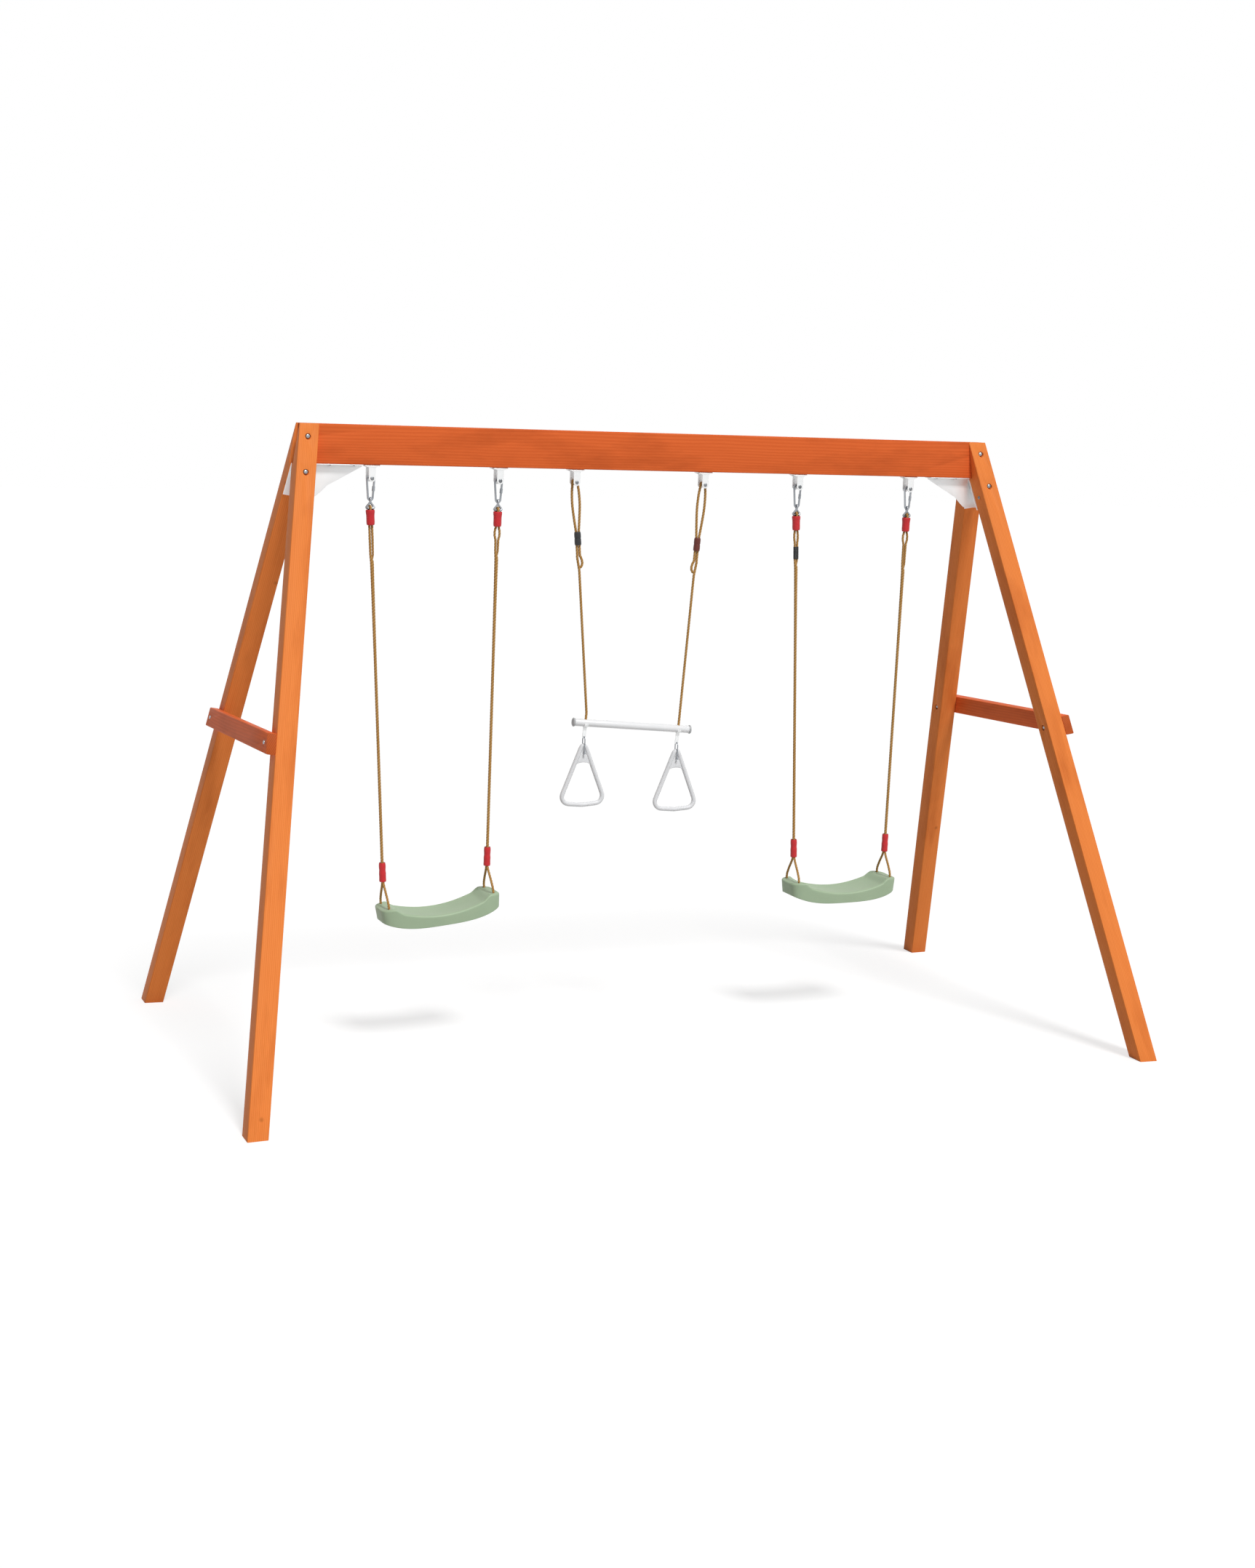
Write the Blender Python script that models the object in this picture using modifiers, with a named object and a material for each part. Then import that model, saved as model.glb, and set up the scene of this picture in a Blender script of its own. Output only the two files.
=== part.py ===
# Wooden swing set: two A-frames, a top beam, two rope swings and a trapeze with gym rings.
# Metres, +Z up. X runs along the beam, -Y is the front, and the floor is z = 0 under the beam's middle.

from math import asin, atan2, cos, pi, radians, sin, tan

import bmesh
import bpy
from mathutils import Matrix, Vector

# Clearances
GAP = 0.0003
BOLT_CLEARANCE = 0.0006
PIN_CLEARANCE = 0.0006
ROPE_CLEARANCE = 0.0010

# Timber frame
FRAME_HEIGHT = 2.100
TOP_SPAN = 2.524
FOOT_DEPTH = 1.710
LEG_BACK_GAP = 0.0016
SIDE_SPLAY = radians(9.28)
LEG_WIDTH = 0.0651
LEG_DEPTH = 0.0667
TIMBER_ROUND = 0.003
BEAM_END_INSET = 0.007
BEAM_HEIGHT = 0.128
BEAM_DEPTH = 0.045
BRACE_DOWN = 1.008
BRACE_TILT = radians(2.3)
BRACE_HEIGHT = 0.065
BRACE_THICKNESS = 0.030

# Bolts through the timber
BOLT_RADIUS = 0.004
BOLT_HEAD_RADIUS = 0.00825
BOLT_HEAD_HEIGHT = 0.005
NUT_RADIUS = 0.0075
NUT_HEIGHT = 0.009
COUNTERBORE_RADIUS = 0.010
COUNTERBORE_DEPTH = 0.006
UPPER_BOLT_DROP = 0.042
UPPER_BOLT_INSET = 0.024
LOWER_BOLT_BELOW_BEAM = 0.026
LOWER_BOLT_INSET = 0.007
BRACE_HEAD_RADIUS = 0.0065
BRACE_HEAD_HEIGHT = 0.0035
NUT_RECESS = 0.010

# Corner brackets of folded steel
STEEL = 0.003
BRACKET_REACH = 0.214
BRACKET_FLANGE_END = 0.052
BRACKET_WEB_PROUD = 0.008
BRACKET_TIP_DROP = 0.004
BRACKET_KNEE_INSET = 0.098
BRACKET_KNEE_DROP = 0.070
BRACKET_FOOT_INSET = 0.059
BRACKET_FOOT_DROP = 0.106
FLANGE_PROUD = 0.003
FLANGE_SHORT = 0.002

# Hangers under the beam
SWING_HANGER_SPACING = 0.440
LEFT_HANGER_INSET = 0.244
RIGHT_HANGER_INSET = 0.292
TRAPEZE_HANGERS = (-0.306, 0.167)
HANGER_BASE_LENGTH = 0.054
HANGER_WAIST_LENGTH = 0.038
HANGER_WAIST_DROP = 0.013
EAR_RADIUS = 0.0115
EAR_HALF_GAP = 0.017
PIN_DROP = 0.044
PIN_RADIUS = 0.004
PIN_HEAD_RADIUS = 0.0065
PIN_HEAD_HEIGHT = 0.003

# Pear-shaped screw links
LINK_LENGTH = 0.086
LINK_WIRE = 0.0035
LINK_TOP_RADIUS = 0.0125
LINK_BOTTOM_RADIUS = 0.008
LINK_NUT_RADIUS = 0.0052
LINK_NUT_LENGTH = 0.016

# Rope rings between link and rope
RING_WIRE = 0.0035
RING_DROP = 0.027
RING_HALF_BASE = 0.014

# Swing ropes
ROPE_RADIUS = 0.00525
STRAND_RADIUS = 0.0042
STRAND_OFFSET = 0.0045
UPPER_SLEEVE_LENGTH = 0.050
UPPER_SLEEVE_TOP_RADIUS = 0.0150
UPPER_SLEEVE_END_RADIUS = 0.0122
DOUBLED_LENGTH = 0.108
LOWER_SLEEVE_LENGTH = 0.065
LOWER_SLEEVE_RADIUS = 0.0118
SLEEVE_WALL = 0.0016
LOWER_SLEEVE_ABOVE_SEAT = 0.085

# Swing seats, which hang a little aside of their hangers and with one end higher
LEFT_SEAT_SHIFT = 0.038
LEFT_SEAT_HEIGHT = 0.5165
LEFT_SEAT_TILT = radians(6.0)
RIGHT_SEAT_SHIFT = 0.020
RIGHT_SEAT_HEIGHT = 0.5175
RIGHT_SEAT_TILT = radians(0.8)
SEAT_HALF_LENGTH = 0.210
SEAT_HALF_DEPTH = 0.0775
SEAT_SAG = 0.034
SEAT_EAR_RISE = 0.009
SEAT_EAR_LENGTH = 0.042
SEAT_SKIRT_MIDDLE = 0.038
SEAT_SKIRT_END = 0.050
SEAT_WALL = 0.005
SEAT_HOLE_FROM_END = 0.025
SEAT_STEP_LENGTH = 0.020
SEAT_DISH = 0.004
SEAT_HOLE_Y = 0.050

# Trapeze
BAR_CENTRE = (-0.0655, 1.0925)
BAR_LENGTH = 0.430
BAR_RADIUS = 0.013
BAR_DROOP = radians(4.58)
BAR_ROPE_X = 0.175
BAR_HOLE_DEPTH = 0.014
CAP_RADIUS = 0.0155
CAP_LENGTH = 0.007
TRAPEZE_ROPE_RADIUS = 0.00455
TRAPEZE_BULGE = 0.0135
TRAPEZE_SLEEVE_LENGTH = 0.045
ROPE_ENTRY = 0.035
ROPE_JOIN = 0.030
TRAPEZE_SLEEVE_RADIUS = 0.0115
TRAPEZE_SLEEVE_DROP = (0.167, 0.183)
TRAPEZE_TAIL_DROP = (0.285, 0.300)

# Gym rings
STRAP_WIDTH = 0.013
STRAP_DROP = 0.042
STRAP_TAB = 0.004
STRAP_HOLE_UP = 0.006
SHACKLE_WIRE = 0.002
SHACKLE_RADIUS = 0.011
SHACKLE_PIN_DROP = 0.0444
GYM_RING_TUBE = 0.0077
GYM_APEX_ABOVE_PIN = 0.0345
GYM_BOTTOM_BELOW_PIN = 0.186
GYM_HALF_WIDTH = 0.0825
GYM_TOP_BEND = 0.0085
GYM_LOW_BEND = 0.026
GYM_BASE_BOW = 0.004
GYM_WEB_BELOW_PIN = 0.034
GYM_WEB_THICKNESS = 0.006

# Worked out from the sizes above
HALF_SPAN = TOP_SPAN / 2
SWING_HANGER_CENTRES = (LEFT_HANGER_INSET + SWING_HANGER_SPACING / 2 - HALF_SPAN,
                        HALF_SPAN - RIGHT_HANGER_INSET - SWING_HANGER_SPACING / 2)
SEAT_HANG = ((SWING_HANGER_CENTRES[0] + LEFT_SEAT_SHIFT, LEFT_SEAT_HEIGHT, LEFT_SEAT_TILT),
             (SWING_HANGER_CENTRES[1] + RIGHT_SEAT_SHIFT, RIGHT_SEAT_HEIGHT, RIGHT_SEAT_TILT))
SEAT_HOLE_X = SEAT_HALF_LENGTH - SEAT_HOLE_FROM_END
BEAM_LENGTH = TOP_SPAN - 2 * BEAM_END_INSET
BEAM_UNDERSIDE = FRAME_HEIGHT - BEAM_HEIGHT
UPPER_BOLT_X = HALF_SPAN - UPPER_BOLT_INSET
LOWER_BOLT_X = HALF_SPAN - LOWER_BOLT_INSET
BRACKET_INNER_X = HALF_SPAN - BRACKET_REACH
BRACKET_FLANGE_X = HALF_SPAN - BRACKET_FLANGE_END
BRACKET_END_X = HALF_SPAN + BRACKET_WEB_PROUD
BRACKET_KNEE_X = HALF_SPAN - BRACKET_KNEE_INSET
BRACKET_FOOT_X = HALF_SPAN - BRACKET_FOOT_INSET
PIN_Z = BEAM_UNDERSIDE - PIN_DROP
LINK_TOP_Z = PIN_Z + PIN_RADIUS + GAP + LINK_WIRE
LINK_BOTTOM_Z = LINK_TOP_Z - LINK_LENGTH + 2 * LINK_WIRE
RING_BASE_Z = LINK_BOTTOM_Z - RING_DROP
SIDES = 8


def solve_apex():
    """Half depth at the top and lean of the legs, whose backs all but meet under the beam."""
    drop = BEAM_HEIGHT + GAP
    inner = drop * tan(SIDE_SPLAY) - LEG_WIDTH / cos(SIDE_SPLAY)
    slope = inner * sin(SIDE_SPLAY) + drop * cos(SIDE_SPLAY)
    half = BEAM_DEPTH / 2
    for _ in range(30):
        lean = atan2(FOOT_DEPTH / 2 - half, FRAME_HEIGHT / cos(SIDE_SPLAY))
        half = LEG_BACK_GAP + LEG_DEPTH / cos(lean) - slope * tan(lean)
    return half, lean


APEX_HALF_DEPTH, LEG_LEAN = solve_apex()
ROOT = {}


def clear_scene():
    for obj in list(bpy.data.objects):
        bpy.data.objects.remove(obj, do_unlink=True)
    for name in ("wooden_swing_set", "cutters"):
        ROOT[name] = bpy.data.collections.new(name)
        bpy.context.scene.collection.children.link(ROOT[name])


def material(name, colour, roughness, metallic=0.0):
    made = bpy.data.materials.new(name)
    made.use_nodes = True
    shader = made.node_tree.nodes["Principled BSDF"]
    shader.inputs["Base Color"].default_value = (*colour, 1.0)
    shader.inputs["Roughness"].default_value = roughness
    shader.inputs["Metallic"].default_value = metallic
    return made


FINISHES = {
    "timber": ((0.62, 0.15, 0.035), 0.55, 0.0),
    "white_steel": ((0.88, 0.89, 0.90), 0.35, 0.0),
    "zinc": ((0.62, 0.62, 0.60), 0.35, 1.0),
    "rope": ((0.40, 0.22, 0.09), 0.9, 0.0),
    "red_plastic": ((0.60, 0.03, 0.035), 0.4, 0.0),
    "black_plastic": ((0.03, 0.03, 0.03), 0.5, 0.0),
    "brown_plastic": ((0.25, 0.05, 0.03), 0.5, 0.0),
    "sage_plastic": ((0.33, 0.46, 0.29), 0.45, 0.0),
    "white_plastic": ((0.90, 0.91, 0.92), 0.35, 0.0),
    "grey_plastic": ((0.35, 0.36, 0.37), 0.5, 0.0),
}


def finish(obj, name):
    obj.data.materials.clear()
    obj.data.materials.append(material(obj.name, *FINISHES[name]))
    return obj


def put(name, data, group="wooden_swing_set"):
    obj = bpy.data.objects.new(name, data)
    ROOT[group].objects.link(obj)
    if group == "cutters":
        obj.hide_render = True
        obj.display_type = "WIRE"
    return obj


def mesh_from(bm, name):
    bmesh.ops.recalc_face_normals(bm, faces=bm.faces)
    data = bpy.data.meshes.new(name)
    bm.to_mesh(data)
    bm.free()
    return data


def frame_matrix(x_axis, y_axis, z_axis, place):
    turned = Matrix((x_axis, y_axis, z_axis)).transposed().to_4x4()
    turned.translation = place
    return turned


def along(direction, place):
    """A matrix whose +Z runs along the direction."""
    turned = Vector(direction).to_track_quat("Z", "Y").to_matrix().to_4x4()
    turned.translation = place
    return turned


def box_bmesh(size, place=(0, 0, 0), rounded=0.0):
    bm = bmesh.new()
    bmesh.ops.create_cube(bm, size=1.0)
    bmesh.ops.scale(bm, vec=Vector(size), verts=bm.verts)
    if rounded:
        bmesh.ops.bevel(bm, geom=list(bm.edges), offset=rounded, segments=1, affect="EDGES")
    bmesh.ops.translate(bm, vec=Vector(place), verts=bm.verts)
    return bm


def add_rod(bm, start, end, radius, sides=SIDES):
    start, end = Vector(start), Vector(end)
    length = (end - start).length
    place = along(end - start, (start + end) / 2)
    bmesh.ops.create_cone(bm, cap_ends=True, segments=sides, radius1=radius, radius2=radius,
                          depth=length, matrix=place)


def rods(name, runs, sides=SIDES, group="cutters"):
    bm = bmesh.new()
    for start, end, radius in runs:
        add_rod(bm, start, end, radius, sides)
    return put(name, mesh_from(bm, name), group)


def trim(bm, place, outward):
    """Cuts away what lies on the outward side of a plane, and closes the cut."""
    whole = list(bm.verts) + list(bm.edges) + list(bm.faces)
    bmesh.ops.bisect_plane(bm, geom=whole, plane_co=place, plane_no=outward, clear_outer=True)
    bmesh.ops.holes_fill(bm, edges=bm.edges, sides=0)


def boolean(obj, other, operation):
    step = obj.modifiers.new(operation.lower(), "BOOLEAN")
    step.operation = operation
    step.solver = "EXACT"
    step.object = other


def cut(obj, *cutters):
    for cutter in cutters:
        boolean(obj, cutter, "DIFFERENCE")


def evaluated_mesh(obj):
    graph = bpy.context.evaluated_depsgraph_get()
    graph.update()
    return bpy.data.meshes.new_from_object(obj.evaluated_get(graph))


def settle(obj):
    """Turns a curve or a modified object into a plain mesh with welded caps, in world space."""
    data = evaluated_mesh(obj)
    bm = bmesh.new()
    bm.from_mesh(data)
    bmesh.ops.remove_doubles(bm, verts=bm.verts, dist=0.000005)
    bmesh.ops.transform(bm, matrix=obj.matrix_world, verts=bm.verts)
    bpy.data.objects.remove(obj, do_unlink=True)
    return bm


def union(name, pieces):
    """One closed body from overlapping bodies."""
    first = put(name, mesh_from(pieces[0], name))
    for number, bm in enumerate(pieces[1:]):
        other = put(name + "_piece" + str(number), mesh_from(bm, name), "cutters")
        boolean(first, other, "UNION")
    return first


def tube(name, points, radius, radii=None, cyclic=False, fineness=2, group="wooden_swing_set"):
    curve = bpy.data.curves.new(name, "CURVE")
    curve.dimensions = "3D"
    curve.bevel_depth = radius
    curve.bevel_resolution = fineness
    curve.use_fill_caps = not cyclic
    spline = curve.splines.new("POLY")
    spline.points.add(len(points) - 1)
    for number, point in enumerate(points):
        spline.points[number].co = (*point, 1.0)
        spline.points[number].radius = radii[number] if radii else 1.0
    spline.use_cyclic_u = cyclic
    return put(name, curve, group)


def outline_plate(name, outline, thickness, place):
    """A flat plate whose outline lies in XZ, standing across Y."""
    curve = bpy.data.curves.new(name, "CURVE")
    curve.dimensions = "2D"
    curve.fill_mode = "BOTH"
    curve.extrude = thickness / 2
    spline = curve.splines.new("POLY")
    spline.points.add(len(outline) - 1)
    for number, (x, z) in enumerate(outline):
        spline.points[number].co = (x, z, 0.0, 1.0)
    spline.use_cyclic_u = True
    obj = put(name, curve, "cutters")
    obj.matrix_world = Matrix.Translation(place) @ Matrix.Rotation(pi / 2, 4, "X")
    bpy.context.view_layer.update()
    return settle(obj)


def turned(name, profile, steps=SIDES):
    """A closed turned mesh about Z from (radius, height) points that run down its outer side."""
    bm = bmesh.new()
    verts = [bm.verts.new((radius, 0.0, height)) for radius, height in profile]
    for first, second in zip(verts, verts[1:]):
        bm.edges.new((first, second))
    data = bpy.data.meshes.new(name)
    bm.to_mesh(data)
    bm.free()
    obj = put(name, data, "cutters")
    step = obj.modifiers.new("turn", "SCREW")
    step.steps = steps
    step.render_steps = steps
    step.use_merge_vertices = True
    step.merge_threshold = 0.00001
    return settle(obj)


def placed(bm, matrix):
    """A moved copy of a bmesh."""
    copy = bm.copy()
    bmesh.ops.transform(copy, matrix=matrix, verts=copy.verts)
    return copy


def arc(centre, radius, start, end, steps):
    """Points of an arc in XZ, with angles measured from +X towards +Z."""
    points = []
    for number in range(steps + 1):
        angle = start + (end - start) * number / steps
        points.append((centre[0] + radius * cos(angle), centre[1] + radius * sin(angle)))
    return points


def smooth(points, steps):
    """A smooth curve through points, with the given count of steps in each span."""
    points = [Vector(p) for p in points]
    spread = [2 * points[0] - points[1]] + points + [2 * points[-1] - points[-2]]
    made = []
    for a, b, c, d in zip(spread, spread[1:], spread[2:], spread[3:]):
        for number in range(steps):
            t = number / steps
            made.append(0.5 * (2 * b + (c - a) * t + (2 * a - 5 * b + 4 * c - d) * t * t
                               + (3 * b - a - 3 * c + d) * t ** 3))
    return made + [points[-1]]


# Timber frame


def leg_frame(side, face):
    """Directions of a leg: down its side plane, out of the side, out of its front or rear face, along it."""
    down = Vector((side * sin(SIDE_SPLAY), 0.0, -cos(SIDE_SPLAY)))
    outward = Vector((side * cos(SIDE_SPLAY), 0.0, sin(SIDE_SPLAY)))
    fore = Vector((0.0, face, 0.0))
    facing = fore * cos(LEG_LEAN) - down * sin(LEG_LEAN)
    axis = down * cos(LEG_LEAN) + fore * sin(LEG_LEAN)
    return down, outward, facing, axis


def apex(side):
    return Vector((side * HALF_SPAN, 0.0, FRAME_HEIGHT))


def slope_at(x, z):
    """Distance down the leg's side plane from the apex."""
    return (x - HALF_SPAN) * sin(SIDE_SPLAY) + (FRAME_HEIGHT - z) * cos(SIDE_SPLAY)


def leg_face_y(x, z):
    """How far the leg's front or rear face is from the middle plane."""
    return APEX_HALF_DEPTH + slope_at(x, z) * tan(LEG_LEAN)


def leg_back_y(x, z):
    return leg_face_y(x, z) - LEG_DEPTH / cos(LEG_LEAN)


def make_leg(name, side, face):
    down, outward, facing, axis = leg_frame(side, face)
    corner = apex(side) + Vector((0.0, face * APEX_HALF_DEPTH, 0.0))
    length = 1.2 * FRAME_HEIGHT / (cos(SIDE_SPLAY) * cos(LEG_LEAN))
    middle = corner - outward * LEG_WIDTH / 2 - facing * LEG_DEPTH / 2 + axis * length * 0.42
    bm = box_bmesh((LEG_WIDTH, LEG_DEPTH, length), rounded=TIMBER_ROUND)
    bmesh.ops.transform(bm, matrix=frame_matrix(outward, facing, -axis, middle), verts=bm.verts)
    trim(bm, (0.0, 0.0, 0.0), (0.0, 0.0, -1.0))
    trim(bm, (0.0, 0.0, FRAME_HEIGHT), (0.0, 0.0, 1.0))
    trim(bm, (0.0, face * GAP, 0.0), (0.0, -face, 0.0))
    return finish(put(name, mesh_from(bm, name)), "timber")


def brace_crossing(face):
    """Where the middle of the leg's depth meets the brace, as distance down the slope and from the middle plane."""
    level = APEX_HALF_DEPTH - LEG_DEPTH / (2 * cos(LEG_LEAN))
    slope = (BRACE_DOWN + tan(BRACE_TILT) * face * level) / (1.0 - tan(BRACE_TILT) * face * tan(LEG_LEAN))
    return slope, level + slope * tan(LEG_LEAN)


def make_brace(name, side):
    down, outward, _, _ = leg_frame(side, 1)
    middle = apex(side) + down * BRACE_DOWN + outward * (GAP + BRACE_THICKNESS / 2)
    bm = box_bmesh((BRACE_THICKNESS, FOOT_DEPTH, BRACE_HEIGHT), rounded=TIMBER_ROUND)
    # the brace falls a little towards the rear
    rearward = Vector((0.0, 1.0, 0.0))
    length = (rearward + down * tan(BRACE_TILT)).normalized()
    height = (down - rearward * tan(BRACE_TILT)).normalized()
    turn = frame_matrix(outward, length * side, -height * side, middle)
    bmesh.ops.transform(bm, matrix=turn, verts=bm.verts)
    for face in (-1, 1):
        facing = leg_frame(side, face)[2]
        trim(bm, apex(side) + Vector((0.0, face * APEX_HALF_DEPTH, 0.0)), facing)
    return finish(put(name, mesh_from(bm, name)), "timber")


def apex_bolts():
    """Each apex bolt as (x, z)."""
    upper = FRAME_HEIGHT - UPPER_BOLT_DROP
    lower = BEAM_UNDERSIDE - LOWER_BOLT_BELOW_BEAM
    return [(side * x, z) for side in (-1, 1) for x, z in ((UPPER_BOLT_X, upper), (LOWER_BOLT_X, lower))]


def bolt_seat(x, z):
    return leg_face_y(abs(x), z) - COUNTERBORE_DEPTH


def brace_bolt_line(side, face):
    """The middle of a brace bolt at the timber joint, and the way out of the side."""
    down, outward, _, _ = leg_frame(side, face)
    slope, y = brace_crossing(face)
    return apex(side) + down * slope + Vector((0.0, face * y, 0.0)), outward


def hanger_places():
    places = []
    for centre in SWING_HANGER_CENTRES:
        places += [centre - SWING_HANGER_SPACING / 2, centre + SWING_HANGER_SPACING / 2]
    return places + list(TRAPEZE_HANGERS)


def make_frame():
    bolts = apex_bolts()
    bolt_hole = BOLT_RADIUS + BOLT_CLEARANCE
    reach = FOOT_DEPTH / 4
    holes = rods("apex_bolt_holes", [((x, -reach, z), (x, reach, z), bolt_hole) for x, z in bolts])
    seats = []
    for x, z in bolts:
        for face in (-1, 1):
            seats.append(((x, face * bolt_seat(x, z), z), (x, face * reach, z), COUNTERBORE_RADIUS))
    counterbores = rods("apex_counterbores", seats)
    brace_holes = []
    recesses = []
    for side in (-1, 1):
        for face in (-1, 1):
            place, outward = brace_bolt_line(side, face)
            inner = place - outward * LEG_WIDTH
            brace_holes.append((inner - outward * LEG_WIDTH, place + outward * LEG_WIDTH, bolt_hole))
            recesses.append((inner + outward * NUT_RECESS, inner - outward * NUT_RECESS, COUNTERBORE_RADIUS))
    brace_hole_cutter = rods("brace_bolt_holes", brace_holes)
    recess_cutter = rods("brace_nut_recesses", recesses)
    housing = box_bmesh((BEAM_LENGTH * 2, BEAM_DEPTH + 2 * GAP, BEAM_HEIGHT * 2),
                        (0.0, 0.0, BEAM_UNDERSIDE - GAP + BEAM_HEIGHT))
    housing_cutter = put("beam_housing", mesh_from(housing, "beam_housing"), "cutters")

    bm = box_bmesh((BEAM_LENGTH, BEAM_DEPTH, BEAM_HEIGHT), (0, 0, FRAME_HEIGHT - BEAM_HEIGHT / 2), TIMBER_ROUND)
    beam = finish(put("top_beam", mesh_from(bm, "top_beam")), "timber")
    cut(beam, holes)
    for side, side_name in ((-1, "left"), (1, "right")):
        for face, face_name in ((-1, "front"), (1, "rear")):
            leg = make_leg("leg_" + face_name + "_" + side_name, side, face)
            cut(leg, housing_cutter, holes, counterbores, brace_hole_cutter, recess_cutter)
        brace = make_brace("brace_" + side_name, side)
        cut(brace, brace_hole_cutter)
        bracket = make_bracket("corner_bracket_" + side_name, side)
        cut(bracket, holes)
    make_bolts(bolts)


def make_bracket(name, side):
    top = BEAM_UNDERSIDE - GAP
    flange_length = BRACKET_FLANGE_X - BRACKET_INNER_X
    flange_middle = side * (BRACKET_FLANGE_X + BRACKET_INNER_X) / 2
    flange = box_bmesh((flange_length, BEAM_DEPTH, STEEL), (flange_middle, 0.0, top - STEEL / 2))
    under = top - STEEL / 2
    outline = [
        (side * BRACKET_INNER_X, under),
        (side * BRACKET_INNER_X, top - STEEL - BRACKET_TIP_DROP),
        (side * BRACKET_KNEE_X, top - BRACKET_KNEE_DROP),
        (side * (BRACKET_KNEE_X + 0.6 * (BRACKET_FOOT_X - BRACKET_KNEE_X)), top - 0.88 * BRACKET_FOOT_DROP),
        (side * BRACKET_FOOT_X, top - BRACKET_FOOT_DROP),
        (side * BRACKET_END_X, top - BRACKET_FOOT_DROP),
        (side * BRACKET_END_X, under),
    ]
    web = outline_plate(name + "_web", outline, STEEL, (0.0, 0.0, 0.0))
    pieces = [web, flange]
    for face in (-1, 1):
        down, outward, facing, axis = leg_frame(side, face)
        corner = apex(side) + Vector((0.0, face * APEX_HALF_DEPTH, 0.0))
        width = LEG_WIDTH + FLANGE_PROUD - FLANGE_SHORT
        middle = corner - outward * (FLANGE_SHORT + width / 2) - facing * (LEG_DEPTH + GAP + STEEL / 2)
        plate = box_bmesh((width, STEEL, BRACKET_FOOT_DROP * 3))
        middle += axis * slope_at(HALF_SPAN, top) / cos(LEG_LEAN)
        bmesh.ops.transform(plate, matrix=frame_matrix(outward, facing, -axis, middle), verts=plate.verts)
        trim(plate, (0.0, 0.0, top - GAP), (0.0, 0.0, 1.0))
        trim(plate, (0.0, 0.0, 0.0), (0.0, -face, 0.0))
        foot_z = top - BRACKET_FOOT_DROP
        foot = Vector((side * BRACKET_END_X, face * leg_back_y(BRACKET_END_X, foot_z), foot_z))
        trim(plate, foot, axis)
        pieces.append(plate)
    return finish(union(name, pieces), "white_steel")


def bolt_profile(head_radius, head_height, grip):
    """A domed bolt head, its shank over the grip from z = 0 down, and a domed nut."""
    dome = arc((0.0, 0.0), 1.0, pi / 2, 0.0, 3)
    head = [(head_radius * radius, head_height * height) for radius, height in dome]
    nut = [(1.0, 0.0), (1.0, 0.55), (0.85, 0.62), (0.6, 0.86), (0.0, 1.0)]
    shank = [(BOLT_RADIUS, 0.0), (BOLT_RADIUS, -grip)]
    return head + shank + [(NUT_RADIUS * radius, -grip - NUT_HEIGHT * height) for radius, height in nut]


def make_bolts(bolts):
    for number, (x, z) in enumerate(bolts):
        seat = bolt_seat(x, z) + GAP
        body = turned("bolt", bolt_profile(BOLT_HEAD_RADIUS, BOLT_HEAD_HEIGHT, 2 * seat))
        body = placed(body, along((0, -1, 0), (x, -seat, z)))
        name = "apex_bolt_" + ("left", "right")[number // 2] + ("_upper", "_lower")[number % 2]
        finish(put(name, mesh_from(body, name)), "zinc")
    for side, side_name in ((-1, "left"), (1, "right")):
        for face, face_name in ((-1, "front"), (1, "rear")):
            place, outward = brace_bolt_line(side, face)
            head_seat = 2 * GAP + BRACE_THICKNESS
            grip = head_seat + LEG_WIDTH - NUT_RECESS + GAP
            body = turned("bolt", bolt_profile(BRACE_HEAD_RADIUS, BRACE_HEAD_HEIGHT, grip))
            body = placed(body, along(outward, place + outward * head_seat))
            name = "brace_bolt_" + face_name + "_" + side_name
            finish(put(name, mesh_from(body, name)), "zinc")


# Hangers


def make_hangers():
    names = ["left_swing_left", "left_swing_right", "right_swing_left", "right_swing_right"]
    names += ["trapeze_left", "trapeze_right"]
    top = BEAM_UNDERSIDE - GAP
    waist = HANGER_WAIST_LENGTH / 2
    outline = [(-HANGER_BASE_LENGTH / 2, top), (-waist, top - HANGER_WAIST_DROP)]
    outline += [(-EAR_RADIUS, PIN_Z + EAR_RADIUS)]
    outline += arc((0.0, PIN_Z), EAR_RADIUS, pi, 2 * pi, 5)
    outline += [(EAR_RADIUS, PIN_Z + EAR_RADIUS), (waist, top - HANGER_WAIST_DROP), (HANGER_BASE_LENGTH / 2, top)]
    depth = 2 * EAR_HALF_GAP + STEEL
    out = EAR_HALF_GAP + STEEL
    profile = [(0.0, out + PIN_HEAD_HEIGHT), (PIN_HEAD_RADIUS * 0.8, out + PIN_HEAD_HEIGHT)]
    profile += [(PIN_HEAD_RADIUS, out - STEEL / 2)]
    profile += [(PIN_RADIUS, out - STEEL / 2)]
    profile += [(radius, -height) for radius, height in reversed(profile)]
    for x, name in zip(hanger_places(), names):
        pieces = [box_bmesh((HANGER_BASE_LENGTH - STEEL, depth, STEEL), (x, 0.0, top - STEEL / 2))]
        for face in (-1, 1):
            ear_y = face * (EAR_HALF_GAP + STEEL / 2)
            pieces.append(outline_plate(name + "_ear", outline, STEEL, (x, ear_y, 0.0)))
        pieces.append(placed(turned("pin", profile), along((0, 1, 0), (x, 0.0, PIN_Z))))
        finish(union("hanger_" + name, pieces), "white_steel")


# Screw links and rope rings


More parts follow.
